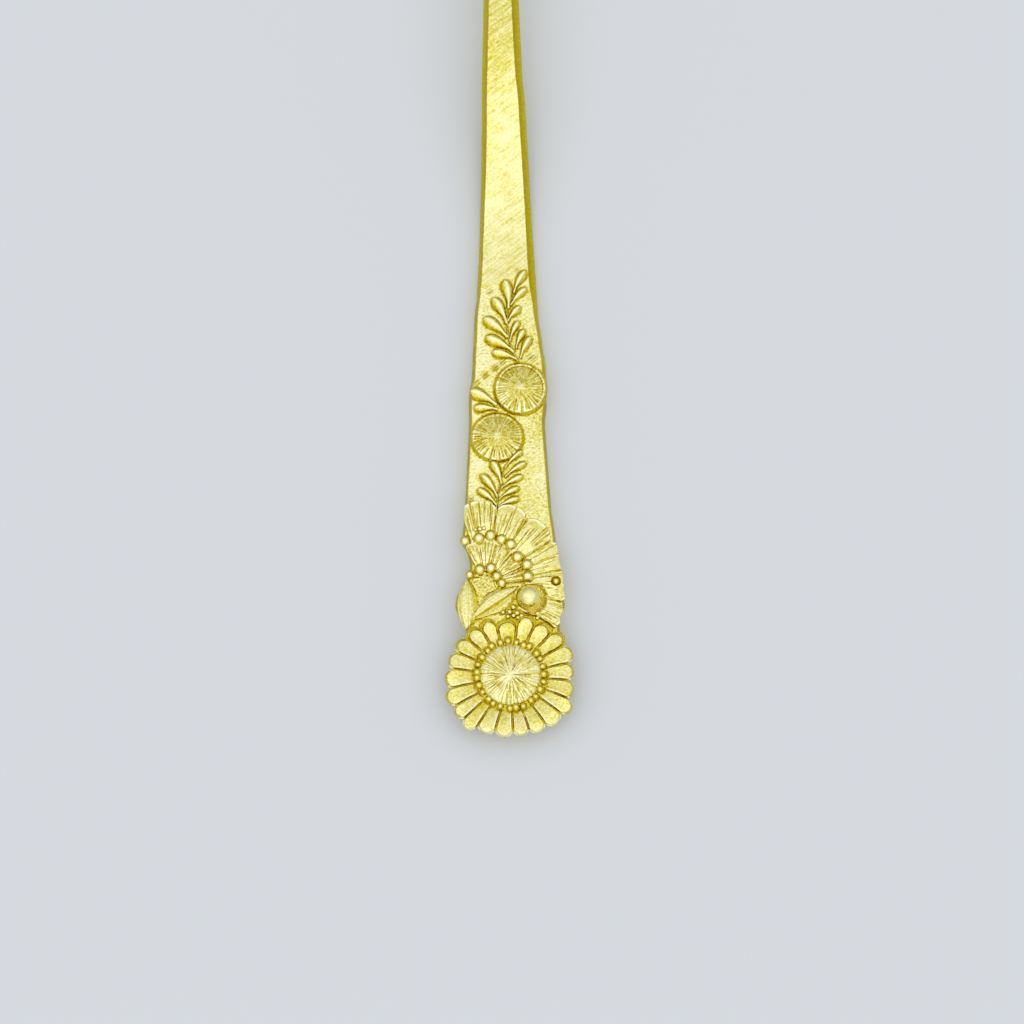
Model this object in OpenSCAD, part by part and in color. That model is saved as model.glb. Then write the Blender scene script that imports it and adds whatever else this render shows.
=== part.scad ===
// Dessert fork with a floral relief on its handle.
// One forged blank carries cast ornaments that are soldered to the flat face of its handle.
// Lengths are in millimetres. +Y runs from the daisy at the handle's end to the tines, and the face is up.
// In plan, s is the distance along the fork from the daisy's centre, and x is the distance across.

/* [Bar] */
// Length of the fork, from the daisy's rim to the tine tips
overall_length = 150; // [135:1:180]
// Thickness of the flat, ornamented part of the handle
panel_thickness = 2.4; // [1.8:0.1:3.2]
// Width where the handle passes under the daisy
waist_width = 10.9; // [9:0.1:12]
// Width at the widest place, beside the large bead
shoulder_width = 13.5; // [12:0.1:15]
// Width at the start of the long taper
bar_width = 11.1; // [9.5:0.1:12.5]
// Width of the neck
neck_width = 4.2; // [3:0.1:6]
// Thickness of the neck
neck_thickness = 2.8; // [2:0.1:4]
// Distance from the daisy's centre to the waist
waist_from_daisy = 5.8; // [5:0.1:6.5]
// Distance from the daisy's centre to the widest place
shoulder_from_daisy = 9; // [8:0.1:10.5]
// Distance from the daisy's centre to the start of the long taper
taper_from_daisy = 19; // [15:0.5:24]
// How quickly the taper runs out: 1 is a straight taper
taper_power = 1.3; // [1:0.05:1.8]
// How far each filed side leans in, beside the ornament
panel_bevel = 0.6; // [0.3:0.05:0.9]
// How far each filed side leans in, at the neck
neck_bevel = 0.9; // [0.4:0.05:1.2]
// Chamfer along the lower edges
lower_chamfer = 0.25; // [0.1:0.05:0.4]
// Height that the neck arches above the table
arch_height = 5.5; // [3:0.5:9]
// Depth of the notch in the left side, below the end bead
notch_depth = 1.15; // [0.6:0.05:1.6]
// Radius of that notch
notch_radius = 4.8; // [4:0.1:5.6]

/* [Tine head] */
// Width across the tines at their roots
head_width = 17.4; // [16.5:0.1:22]
// Width across the tine tips
tip_span = 15.8; // [14:0.1:20]
// Distance from the neck to the tine tips
head_length = 49; // [42:1:56]
// Length of the tines
tine_length = 27; // [20:1:32]
// Number of tines
tine_count = 3; // [3:1:4]
// Width of the slots at the tine roots
slot_width = 2.8; // [1.8:0.1:3.2]
// Width of a tine at its tip
tine_tip_width = 2.1; // [1.6:0.1:2.6]
// Thickness of the palm
palm_thickness = 1.9; // [1.5:0.1:2.4]
// Thickness of the tine tips
tip_thickness = 1.3; // [1:0.1:1.8]
// Height of the tine tips above the table
tip_rise = 6; // [3:0.5:9]
// How far the sides of the palm stand above its middle
head_dish = 0.7; // [0.2:0.1:1.2]
// How far each filed side leans in, at the head
head_bevel = 0.4; // [0.2:0.05:0.6]

/* [Daisy] */
// Radius over the petal tips
daisy_radius = 7.85; // [7.2:0.05:8.5]
// Depth of the scallops between the petal tips
petal_scallop = 0.85; // [0.4:0.05:1.2]
// Height of the petals
petal_height = 1.2; // [0.8:0.05:1.6]
// How far the end of the blank stays inside the scallops
end_setback = 0.15; // [0.05:0.05:0.6]
// Radius of the dome
dome_radius = 3.7; // [3.2:0.1:4.2]
// Height of the dome
dome_height = 1.7; // [1.2:0.1:2.4]
// Number of strokes engraved in the dome
dome_strokes = 40; // [24:2:60]
// Depth of those strokes
stroke_depth = 0.09; // [0.04:0.01:0.14]
// Diameter of the beads round the dome
ring_bead_diameter = 0.95; // [0.7:0.05:1.2]
// Height of the ledge that carries them
ledge_height = 0.6; // [0.4:0.05:0.7]

/* [Half flower] */
// Distance across from the fork's axis to the flower's centre, to the left
half_flower_left = 3; // [2.6:0.1:3.4]
// Distance from the daisy's rim to the flower's centre
half_flower_setback = 3.55; // [3.4:0.05:4]
// Radius of the grained core
core_radius = 1.62; // [1.4:0.02:1.8]
// Height of the core
core_height = 0.4; // [0.25:0.05:0.6]
// Diameter of the beads of the inner row
inner_bead_diameter = 1.25; // [0.9:0.05:1.35]
// Number of beads in the inner row
inner_bead_count = 5; // [3:1:5]
// Length of the inner petals
inner_fan_length = 1.9; // [1.6:0.05:2.2]
// Diameter of the beads of the outer row
outer_bead_diameter = 1.4; // [1.1:0.05:1.6]
// Number of beads in the outer row
outer_bead_count = 8; // [5:1:8]
// Length of the outer petals
outer_fan_length = 4; // [3.2:0.05:4.4]
// Depth of the scallops between the outer petals
fan_scallop = 1.3; // [0.4:0.05:1.6]
// Angle that each outer petal spans
fan_angle = 23.5; // [18:0.5:28]
// Height of the petals
fan_height = 0.6; // [0.4:0.05:0.8]
// Ribs on each petal
fan_ribs = 6; // [4:1:8]
// Height of a rib
rib_height = 0.14; // [0.06:0.02:0.2]
// Diameter of the single bead at the right edge
edge_bead_diameter = 0.9; // [0.6:0.05:1.1]

/* [Pearl] */
// Diameter of the large bead
pearl_diameter = 2.9; // [2.2:0.1:3]
// Width of its collar
collar_width = 0.42; // [0.3:0.01:0.5]
// Height of its collar
collar_height = 0.7; // [0.5:0.05:1]
// Direction of the pearl from the half flower's centre
pearl_angle = -17.5; // [-20:0.5:-15]
// Diameter of the grains beside it
grain_diameter = 0.6; // [0.4:0.02:0.7]

/* [Leaves] */
// Length of the upright leaf
upright_leaf_length = 6.85; // [6.2:0.05:7.2]
// Width of the upright leaf
upright_leaf_width = 2.5; // [1.8:0.1:2.8]
// Length of the slanted leaf
slanted_leaf_length = 7.3; // [6:0.1:7.6]
// Width of the slanted leaf
slanted_leaf_width = 2.7; // [2:0.1:2.9]
// Direction of the slanted leaf
slanted_leaf_angle = 33.5; // [30:0.5:37]
// Height of both leaves along the midrib
leaf_height = 0.75; // [0.5:0.05:1]

/* [Button flowers] */
// Radius of each button flower
flower_radius = 3.42; // [3:0.02:3.8]
// Height of its middle
flower_height = 1.25; // [0.9:0.05:1.6]
// Height of its rim
flower_rim = 0.6; // [0.4:0.05:0.8]
// Number of flutes round its rim
flower_flutes = 36; // [24:2:48]
// Depth of the flutes
flute_depth = 0.16; // [0.06:0.02:0.24]
// Distance across from the fork's axis to the lower flower's centre, to the left
lower_flower_left = 1.25; // [0.8:0.05:1.6]
// Direction from the lower flower to the upper one
flower_step_angle = 64; // [58:0.5:70]

/* [Leaf sprays] */
// Length of the leaflets on the upper spray's left side
long_leaflet_length = 3.6; // [2.8:0.1:4]
// Length of all other leaflets
short_leaflet_length = 3.15; // [2.4:0.05:3.5]
// Width of the leaflets on the left sides
broad_leaflet_width = 1.55; // [1:0.05:1.8]
// Width of the leaflets on the right sides
narrow_leaflet_width = 1.15; // [0.7:0.05:1.4]
// Height of a leaflet
leaflet_height = 0.6; // [0.4:0.05:0.9]
// How far a leaflet turns outwards from its root to its tip
leaflet_turn_angle = 26; // [5:1:45]
// Length of the upper spray's stem
upper_stem_length = 9.5; // [8:0.1:10.5]
// Length of the lower spray's stem
lower_stem_length = 4.7; // [4:0.1:5.4]
// Width of the stems
stem_width = 0.5; // [0.3:0.05:0.8]

/* [Seams] */
// Clearance between neighbouring ornaments
seam = 0.08; // [0.04:0.01:0.15]
// Bare face left above the upper spray, before the arch starts
face_margin = 0.9; // [0.6:0.1:3]

/* [Hidden] */
$fn = 72;

brushed = [0.86, 0.77, 0.36];
satin = [0.82, 0.74, 0.38];
polished = [0.90, 0.80, 0.34];

// Directions of the grooves on either side of the daisy's petals, which are as uneven as hand-cut ones are
groove_angles = [10.5, 28, 44.5, 63, 81.5, 105, 122, 139.5, 156.5, 173.5, 192, 209, 223, 236.5, 254, 272,
                 288, 304.5, 321.5, 336.5, 353.5, 370.5];
// How far each petal reaches, as a share of the daisy's radius; beside the other ornaments none goes past it
petal_reaches = [1.045, 1.055, 1, 1, 0.89, 0.97, 0.98, 0.99, 1, 1.03, 1.075, 1.07, 1.11, 1.005, 0.99, 0.98,
                 1.02, 1.07, 1.11, 1.025, 1];
petal_count = len(petal_reaches);
petal_samples = [-1, -0.72, -0.36, 0, 0.36, 0.72];
// How far the petals reach past the daisy's centre towards the handle's end
daisy_reach = max([
    for (i = [0:petal_count - 1], f = petal_samples) -petal_rim(i, f) * sin(petal_angle(i, f))
]);
daisy_s_to_y = daisy_reach - overall_length / 2;
tip_s = overall_length - daisy_reach;
neck_s = tip_s - head_length;
root_s = tip_s - tine_length;
// The palm touches the table just past the tine roots
belly_past_root = 3;
belly_s = root_s + belly_past_root;
// The handle ends in a disc under the daisy
blank_end_radius = daisy_radius - petal_scallop - end_setback;

// Radii of the half flower, from its core outwards
half_flower_at = [-half_flower_left, daisy_radius + half_flower_setback];
inner_bead_ring = core_radius + seam + inner_bead_diameter / 2;
inner_fan_start = core_radius + inner_bead_diameter + 2 * seam;
inner_fan_end = inner_fan_start + inner_fan_length;
outer_bead_ring = inner_fan_end + seam + outer_bead_diameter / 2;
outer_fan_start = inner_fan_end + outer_bead_diameter + 2 * seam;
outer_fan_end = outer_fan_start + outer_fan_length;
// Directions between which the petals stand, and the direction of one outer petal's middle
outer_fans_from_angle = -28;
outer_fans_to_angle = 100;
outer_fan_middle_angle = 0;
inner_fans_to_angle = 118;
inner_fan_angle = 26;
inner_fan_scallop = 0.35;
first_inner_bead_angle = 5;
// The notch in the bar's left side is centred this far above the flower's centre
notch_above_flower = 2.5;
notch_s = half_flower_at[1] + notch_above_flower;

// The pearl ends the outer row of beads, and the inner petals stop beside its collar
collar_radius = pearl_diameter / 2 + collar_width;
pearl_at = half_flower_at + polar(outer_bead_ring, pearl_angle);
// Bare angle left beside the collar by the inner petals and by the row of beads
collar_gap_angle = 0.5;
inner_fans_from_angle = pearl_angle + asin((collar_radius + seam) / outer_bead_ring) + collar_gap_angle;
first_outer_bead_angle = pearl_angle + collar_gap_angle
    + 2 * asin((collar_radius + seam + outer_bead_diameter / 2) / 2 / outer_bead_ring);
edge_bead_angle = 1.6;
edge_bead_inset = 1.65;
edge_bead_at = half_flower_at + polar(outer_fan_end - edge_bead_inset, edge_bead_angle);

// The two leaves and the grains stand beside the daisy's rim, in these directions from its centre
upright_leaf_bearing = 134.3;
upright_leaf_angle = 90;
// The upright leaf's foot is cut off where it would reach this far under the daisy
upright_leaf_tuck_depth = 0.4;
upright_leaf_foot = polar(daisy_radius - upright_leaf_tuck_depth, upright_leaf_bearing);
slanted_leaf_bearing = 124.2;
slanted_leaf_setback = 0.6;
slanted_leaf_foot = polar(daisy_radius + slanted_leaf_setback, slanted_leaf_bearing);
grain_bearings = [59.5, 65.5, 86.5, 91.5];
grain_ring = daisy_radius + 2 * seam + grain_diameter / 2;

// The lower spray grows between two outer petals, and the flowers stand above it
lower_spray_bearing = 80.5;
lower_spray_foot = half_flower_at + polar(outer_fan_end + seam, lower_spray_bearing);
lower_flower_at = [-lower_flower_left, lower_spray_foot[1] + lower_stem_length + flower_radius + seam];
upper_flower_at = lower_flower_at + polar(2 * flower_radius + seam, flower_step_angle);
upper_spray_foot = upper_flower_at + [0, flower_radius + seam];
side_leaf_bearing = 83;
side_leaf_angles = [145, 169];
// How far the stems bow out to one side, and how far their tips end to the side of their feet
upper_stem_bow = 3.2;
upper_stem_lean = 0.1;
lower_stem_bow = 0.35;
lower_stem_lean = 1.05;
// Places along the stems where the leaflets start, as shares of the stem, and the directions they take
upper_left_places = [0.02, 0.18, 0.37, 0.53, 0.71];
upper_left_angles = [163, 156, 141, 117, 99];
upper_right_places = [0.035, 0.11, 0.21, 0.47, 0.75, 0.91];
upper_right_angles = [59, 67, 72, 54, 46, 62];
lower_left_places = [0.05, 0.2, 0.42];
lower_left_angles = [150, 130, 109];
lower_right_places = [0.02, 0.1, 0.33, 0.62, 0.85];
lower_right_angles = [8, 24, 28, 32, 43];
flat_end_s = upper_spray_foot[1] + upper_stem_length + long_leaflet_length + face_margin;

function polar(r, a) = [r * cos(a), r * sin(a)];
function mix(a, b, t) = a + (b - a) * t;
function share(a, b, s) = (s - a) / (b - a);
function smooth(t) = let (u = max(0, min(1, t))) u * u * (3 - 2 * u);
function bezier(p, t) = (1 - t) * (1 - t) * p[0] + 2 * t * (1 - t) * p[1] + t * t * p[2];

// Outline and section of the blank, as functions of s

function half_width(s) =
    s < waist_from_daisy ? waist_width / 2
    : s < shoulder_from_daisy
        ? mix(waist_width, shoulder_width, smooth(share(waist_from_daisy, shoulder_from_daisy, s))) / 2
    : s < taper_from_daisy
        ? let (t = share(taper_from_daisy, shoulder_from_daisy, s))
          mix(bar_width, shoulder_width, (t + t * t) / 2) / 2
    : s < neck_s ? mix(neck_width, bar_width, pow(share(neck_s, taper_from_daisy, s), taper_power)) / 2
    : s < root_s ? mix(neck_width, head_width, smooth(share(neck_s, root_s, s))) / 2
    : mix(head_width, tip_span + tip_spare, share(root_s, tip_s, s)) / 2;

function thickness(s) =
    s < neck_s ? mix(panel_thickness, neck_thickness, smooth(share(flat_end_s, neck_s, s)))
    : s < root_s ? mix(neck_thickness, palm_thickness, smooth(share(neck_s, root_s, s)))
    : mix(palm_thickness, tip_thickness, share(root_s, tip_s, s));

function underside(s) =
    s < flat_end_s ? 0
    : s < belly_s ? arch_height * (1 - cos(360 * share(flat_end_s, belly_s, s))) / 2
    : tip_rise * pow(share(belly_s, tip_s, s), 2);

function bevel(s) =
    s < neck_s ? mix(panel_bevel, neck_bevel, smooth(share(flat_end_s, neck_s, s)))
    : mix(neck_bevel, head_bevel, smooth(share(neck_s, root_s, s)));

function dish(s) = head_dish * smooth(share(neck_s, root_s, s));

across = [-1, -0.5, 0, 0.5, 1];
// The sides are upright to this share of the thickness, and lean in above it
upright_share = 0.35;
// The loft runs a little wider and longer than the tines, which are then cut to their outline
tip_spare = 0.5;

function section(s) =
    let (w = half_width(s), t = thickness(s), z = underside(s), d = dish(s), top_w = w - bevel(s))
    concat(
        [for (f = across) [f * (w - lower_chamfer), s, z + d * f * f]],
        [[w, s, z + d + upright_share * t]],
        [for (f = across) [-f * top_w, s, z + t + d * f * f]],
        [[-w, s, z + d + upright_share * t]]
    );

// Closed solid through a list of sections made by section()
module loft(rings) {
    n = len(rings[0]);
    m = len(across);
    last = len(rings) - 1;
    function strip(o) = [
        for (k = [0:m - 2]) each [[o + k, o + k + 1, o + n - 3 - k], [o + k, o + n - 3 - k, o + n - 2 - k]],
        [o + m - 1, o + m, o + m + 1],
        [o, o + n - 2, o + n - 1]
    ];
    walls = [
        for (i = [0:last - 1], k = [0:n - 1])
            let (a = i * n + k, b = i * n + (k + 1) % n) each [[a, b, a + n], [b, b + n, a + n]]
    ];
    foot = [for (f = strip(0)) [f[0], f[2], f[1]]];
    cap = strip(last * n);
    polyhedron([for (r = rings) each r], concat(walls, foot, cap));
}

// Relief solids: a sculpted top over a flat back at z = 0

// Rows of top points, each row running across the piece; a closed one joins its last row to its first
module relief_ribbon(rows, closed = false) {
    n = len(rows);
    m = len(rows[0]);
    k = m + 2;
    points = [for (r = rows) each concat(r, [[r[0][0], r[0][1], 0], [r[m - 1][0], r[m - 1][1], 0]])];
    sides = [
        for (i = [0:closed ? n - 1 : n - 2])
            let (a = i * k, b = ((i + 1) % n) * k) each concat(
                [for (j = [0:m - 2]) each [[a + j, a + j + 1, b + j], [a + j + 1, b + j + 1, b + j]]],
                [[a + m, a, b + m], [a, b, b + m]],
                [[a + m - 1, a + m + 1, b + m - 1], [a + m + 1, b + m + 1, b + m - 1]],
                [[a + m + 1, a + m, b + m + 1], [a + m, b + m, b + m + 1]]
            )
    ];
    first = [for (j = [0:m - 2]) [m, j + 1, j]];
    end = (n - 1) * k;
    ends = closed ? [] : concat(
        first, [[m, m + 1, m - 1]],
        [for (f = first) [end + f[0], end + f[2], end + f[1]]], [[end + m, end + m - 1, end + m + 1]]
    );
    polyhedron(points, concat(sides, ends));
}

// A middle height and rings of top points, from the innermost ring outwards
module relief_rosette(middle, rings) {
    n = len(rings[0]);
    m = len(rings);
    rim = rings[m - 1];
    points = concat([for (r = rings) each r], [for (p = rim) [p[0], p[1], 0]], [[0, 0, middle], [0, 0, 0]]);
    top = (m + 1) * n;
    faces = [
        for (j = [0:n - 1])
            let (i = (j + 1) % n) each concat(
                [[top, i, j], [top + 1, m * n + j, m * n + i]],
                [for (r = [0:m - 1]) each [[r * n + j, r * n + i, (r + 1) * n + j],
                                           [r * n + i, (r + 1) * n + i, (r + 1) * n + j]]]
            )
    ];
    polyhedron(points, faces);
}

module from_daisy() { translate([0, daisy_s_to_y, 0]) children(); }
module on_face(at = [0, 0]) { from_daisy() translate([at[0], at[1], panel_thickness]) children(); }

// Upright clearance round something that stands on the handle's face
clear_height = 6;
module clear_of_round(at, r) {
    translate([at[0], at[1], -clear_height / 2]) cylinder(r = r + seam, h = clear_height);
}
module clear_of_daisy() { clear_of_round([0, 0], daisy_radius); }

// Fork blank

// Middles of the tines at their tips, and of the slots at the tine roots, from the left
function tip_middle(i) = [(i - (tine_count - 1) / 2) * (tip_span - tine_tip_width) / (tine_count - 1),
                          tip_s - tine_tip_width / 2];
function slot_middle(i) = [(i - (tine_count - 2) / 2) * (head_width + slot_width) / tine_count, root_s];

// Comb that cuts the tines; the outer sides of the outer tines are left to the loft
module blank_plan() {
    teeth = [
        for (i = [tine_count - 1:-1:0]) each concat(
            [for (a = [0:15:180]) tip_middle(i) + polar(tine_tip_width / 2, a)],
            i > 0 ? [for (a = [0:-30:-180]) slot_middle(i - 1) + polar(slot_width / 2, a)] : []
        )
    ];
    wide = head_width;
    polygon(concat([[-wide, root_s], [-wide, -wide], [wide, -wide], [wide, root_s]], teeth));
}

module fork_blank() {
    // Places along the fork, with the number of sections between each and the next
    stretches = [[0, 4], [waist_from_daisy, 5], [shoulder_from_daisy, 5], [taper_from_daisy, 8],
                 [flat_end_s, 16], [neck_s, 16], [root_s, 16], [tip_s + tip_spare, 1]];
    places = [
        for (i = [0:len(stretches) - 2], k = [0:stretches[i][1] - 1])
            mix(stretches[i][0], stretches[i + 1][0], k / stretches[i][1])
    ];
    color(brushed) from_daisy() difference() {
        intersection() {
            union() {
                loft([for (s = concat(places, tip_s + tip_spare)) section(s)]);
                cylinder(r1 = blank_end_radius, r2 = blank_end_radius - panel_bevel, h = panel_thickness);
            }
            linear_extrude(overall_length) blank_plan();
        }
        translate([notch_depth - half_width(notch_s) - notch_radius, notch_s, -clear_height / 2])
            cylinder(r = notch_radius, h = 2 * clear_height);
    }
}

// Daisy

// Direction and rim of a petal at f, which runs from -1 to 1 across it
function petal_angle(i, f) = mix(groove_angles[i], groove_angles[i + 1], (1 + f) / 2);
function groove_rim(i) =
    daisy_radius * (petal_reaches[(i + petal_count - 1) % petal_count] + petal_reaches[i % petal_count]) / 2
    - petal_scallop;
function petal_rim(i, f) =
    mix(groove_rim(f < 0 ? i : i + 1), daisy_radius * petal_reaches[i], sqrt(1 - f * f));
wheel_bore = dome_radius + seam;
ledge_end = wheel_bore + ring_bead_diameter + 2 * seam;

module daisy_wheel() {
    // Height along a petal, from the ledge to the rim, as pairs of place and share of the height
    ridge = [[0, 0.72], [0.3, 1], [0.65, 0.92], [0.88, 0.72], [1, 0.5]];
    groove_share = 0.5;
    rows = [
        for (i = [petal_count - 1:-1:0], f = -petal_samples)
            let (a = petal_angle(i, f), crown = mix(1, groove_share, pow(f, 4)))
            concat(
                [for (r = [wheel_bore, ledge_end - seam]) concat(polar(r, a), ledge_height)],
                [for (p = ridge)
                    concat(polar(mix(ledge_end, petal_rim(i, f), p[0]), a), petal_height * p[1] * crown)]
            )
    ];
    color(satin) on_face() relief_ribbon(rows, closed = true);
}

// Ball with a flat foot at z = 0
foot_share = 0.8;
module bead(d) {
    translate([0, 0, foot_share * d / 2]) intersection() {
        sphere(d = d);
        translate([-d, -d, -foot_share * d / 2]) cube(2 * d);
    }
}

module daisy_beads() {
    ring = wheel_bore + seam / 2 + ring_bead_diameter / 2;
    count = floor(180 / asin((ring_bead_diameter + seam / 2) / 2 / ring));
    color(polished) on_face() translate([0, 0, ledge_height])
        for (i = [0:count - 1]) translate(polar(ring, i * 360 / count)) bead(ring_bead_diameter);
}

module daisy_dome() {
    edge_share = 0.5;
    rings = [
        for (r = [0.16, 0.4, 0.64, 0.84, 1]) [
            for (i = [0:2 * dome_strokes - 1])
                let (a = 180 * i / dome_strokes, z = dome_height * mix(1, edge_share, r * r))
                concat(polar(r * dome_radius, a), z - (i % 2) * stroke_depth * r)
        ]
    ];
    color(satin) on_face() relief_rosette(dome_height, rings);
}

// Half flower

// One sector of ribbed petals, between two angles, with a scalloped outer rim
module fan_ring(inner, outer, scallop, first, pitch, from, to) {
    steps = 2 * fan_ribs;
    low = ceil((from - first) / pitch * steps + steps / 2);
    high = floor((to - first) / pitch * steps + steps / 2);
    lift = [[0, 0.75], [0.35, 1], [0.7, 0.95], [0.92, 0.8], [1, 0.6]];
    rows = [
        for (i = [low:high])
            let (a = first + (i / steps - 0.5) * pitch, f = 2 * (i / steps - floor(i / steps)) - 1,
                 rim = outer - scallop * (1 - sqrt(1 - f * f)),
                 z = fan_height - rib_height * (abs(i) % 2) - rib_height * pow(f, 6))
            [for (p = lift) concat(polar(mix(inner, rim, p[0]), a), z * p[1])]
    ];
    relief_ribbon([for (i = [len(rows) - 1:-1:0]) rows[i]]);
}

// Outline of the bar beside the half flower, a seam's width past its sides
module bar_plan() {
    steps = 10;
    reach = half_flower_at[1] + outer_fan_end + seam;
    side = [for (i = [0:steps]) [half_width(i / steps * reach) + seam, i / steps * reach]];
    polygon(concat(side, [for (i = [steps:-1:0]) [-side[i][0], side[i][1]]]));
}

// The outer petals are filed back to the bar's sides
module outer_fans() {
    color(satin) on_face() difference() {
        intersection() {
            translate(half_flower_at)
                fan_ring(outer_fan_start, outer_fan_end, fan_scallop, outer_fan_middle_angle, fan_angle,
                         outer_fans_from_angle, outer_fans_to_angle);
            linear_extrude(clear_height) bar_plan();
        }
        clear_of_daisy();
        clear_of_round(pearl_at, collar_radius);
        clear_of_round(edge_bead_at, edge_bead_diameter / 2);
    }
}

module inner_fans() {
    last_middle_angle = inner_fans_to_angle - inner_fan_angle / 2;
    color(satin) on_face() difference() {
        translate(half_flower_at)
            fan_ring(inner_fan_start, inner_fan_end, inner_fan_scallop, last_middle_angle, inner_fan_angle,
                     inner_fans_from_angle, inner_fans_to_angle);
        clear_of_leaves();
    }
}

// Beads side by side on an arc round the half flower's centre, from the first angle on
module bead_row(ring, d, count, from) {
    pitch = 2 * asin((d + seam) / 2 / ring);
    for (i = [0:count - 1]) translate(half_flower_at + polar(ring, from + i * pitch)) bead(d);
}

module outer_beads() {
    color(polished) on_face()
        bead_row(outer_bead_ring, outer_bead_diameter, outer_bead_count, first_outer_bead_angle);
}

module inner_beads() {
    color(polished) on_face() difference() {
        bead_row(inner_bead_ring, inner_bead_diameter, inner_bead_count, first_inner_bead_angle);
        clear_of_leaves();
    }
}

module half_flower_core() {
    // Height from the middle outwards, as pairs of place and share of the height
    crown = [[0, 1], [0.35, 0.96], [0.7, 0.8], [1, 0.5]];
    color(satin) on_face() difference() {
        translate(half_flower_at) rotate_extrude() polygon(concat(
            [[core_radius, 0], [0, 0]],
            [for (p = crown) [p[0] * core_radius, p[1] * core_height]]
        ));
        clear_of_leaves();
    }
}

module edge_bead() { color(polished) on_face(edge_bead_at) bead(edge_bead_diameter); }

// Pearl

pearl_foot = foot_share * pearl_diameter / 2;

module pearl() { color(polished) on_face(pearl_at) bead(pearl_diameter); }

module pearl_collar() {
    color(satin) on_face(pearl_at) rotate_extrude() difference() {
        intersection() {
            square([collar_radius, collar_height]);
            translate([collar_radius - collar_height, 0]) circle(r = collar_height);
        }
        translate([0, pearl_foot]) circle(r = pearl_diameter / 2 + seam);
        square([pearl_diameter / 4, collar_height]);
    }
}

module filler_grains() {
    color(polished) on_face() difference() {
        for (a = grain_bearings) translate(polar(grain_ring, a)) bead(grain_diameter);
        clear_of_round(pearl_at, collar_radius);
        clear_of_leaves();
    }
}

// Leaves

leaf_places = [0.012, 0.06, 0.16, 0.3, 0.45, 0.6, 0.75, 0.88, 0.96, 0.988];
// Height across a leaf, as pairs of place and share of the height: two lobes beside a sunk midrib
leaf_profile = [[-1, 0.45], [-0.55, 1], [-0.14, 0.85], [0, 0.55], [0.14, 0.85], [0.55, 1], [1, 0.45]];
leaf_fullness = 0.85;
function leaf_half_width(t, width) = width / 2 * pow(sin(180 * t), leaf_fullness);

// Pointed leaf along +X from its foot
module leaf(length, width) {
    tip_share = 0.45;
    rows = [
        for (t = leaf_places)
            let (w = leaf_half_width(t, width), h = leaf_height * mix(tip_share, 1, sqrt(sin(180 * t))))
            [for (p = leaf_profile) [t * length, p[0] * w, p[1] * h]]
    ];
    relief_ribbon(rows);
}

module clear_of_leaf(at, angle, length, width) {
    wide = width + 2 * seam;
    half = [for (t = leaf_places) [mix(-seam, length + seam, t), leaf_half_width(t, wide)]];
    translate([at[0], at[1], -clear_height / 2]) rotate(angle) linear_extrude(clear_height)
        polygon(concat(half, [for (i = [len(half) - 1:-1:0]) [half[i][0], -half[i][1]]]));
}

module clear_of_upright_leaf() {
    clear_of_leaf(upright_leaf_foot, upright_leaf_angle, upright_leaf_length, upright_leaf_width);
}

module clear_of_leaves() {
    clear_of_upright_leaf();
    clear_of_leaf(slanted_leaf_foot, slanted_leaf_angle, slanted_leaf_length, slanted_leaf_width);
}

module upright_leaf() {
    color(satin) on_face() difference() {
        translate(upright_leaf_foot) rotate(upright_leaf_angle)
            leaf(upright_leaf_length, upright_leaf_width);
        clear_of_daisy();
    }
}

module slanted_leaf() {
    color(satin) on_face() difference() {
        translate(slanted_leaf_foot) rotate(slanted_leaf_angle)
            leaf(slanted_leaf_length, slanted_leaf_width);
        clear_of_daisy();
        clear_of_round(pearl_at, collar_radius);
        clear_of_upright_leaf();
    }
}

// Leaf sprays

// Club-shaped leaflet from its root, whose spine turns on an arc about the direction of +X
module leaflet(length, width, turn_angle) {
    edge_share = 0.3;
    root_share = 0.45;
    // The lean moves the widest place towards the tip, and a lower fullness makes the ends blunter
    club_lean = 1.8;
    club_fullness = 0.6;
    // The spine points along +X at this share of its length
    level_share = 0.6;
    arc_radius = length * 180 / (PI * turn_angle);
    start_angle = -level_share * turn_angle;
    rows = [
        for (t = [0.05, 0.2, 0.38, 0.55, 0.7, 0.83, 0.93, 0.985])
            let (a = (t - level_share) * turn_angle, club = pow(sin(180 * pow(t, club_lean)), club_fullness),
                 spine = arc_radius * [sin(a) - sin(start_angle), cos(start_angle) - cos(a)],
                 normal = width / 2 * club * [-sin(a), cos(a)],
                 h = leaflet_height * mix(root_share, 1, club))
            [for (v = [-1, -0.55, 0, 0.55, 1]) concat(spine + v * normal, h * mix(1, edge_share, v * v))]
    ];
    relief_ribbon(rows);
}

// Stem along a curve, thinning to half its width
module stem(curve) {
    steps = 6;
    crown_share = 0.6;
    edge_share = 0.3;
    rows = [
        for (i = [0:steps])
            let (t = i / steps, along = mix(curve[1] - curve[0], curve[2] - curve[1], t),
                 normal = [-along[1], along[0]] / norm(along), w = stem_width / 2 * mix(1, 0.5, t))
            [for (v = [-1, 0, 1])
                concat(bezier(curve, t) + normal * v * w,
                       leaflet_height * mix(crown_share, edge_share, v * v))]
    ];
    relief_ribbon(rows);
}

// Leaflets along a stem, at the given places and in the given directions
module leaflets(curve, places, angles, length, width, turn_angle) {
    for (i = [0:len(places) - 1])
        translate(bezier(curve, places[i])) rotate(angles[i]) leaflet(length, width, turn_angle);
}

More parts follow.
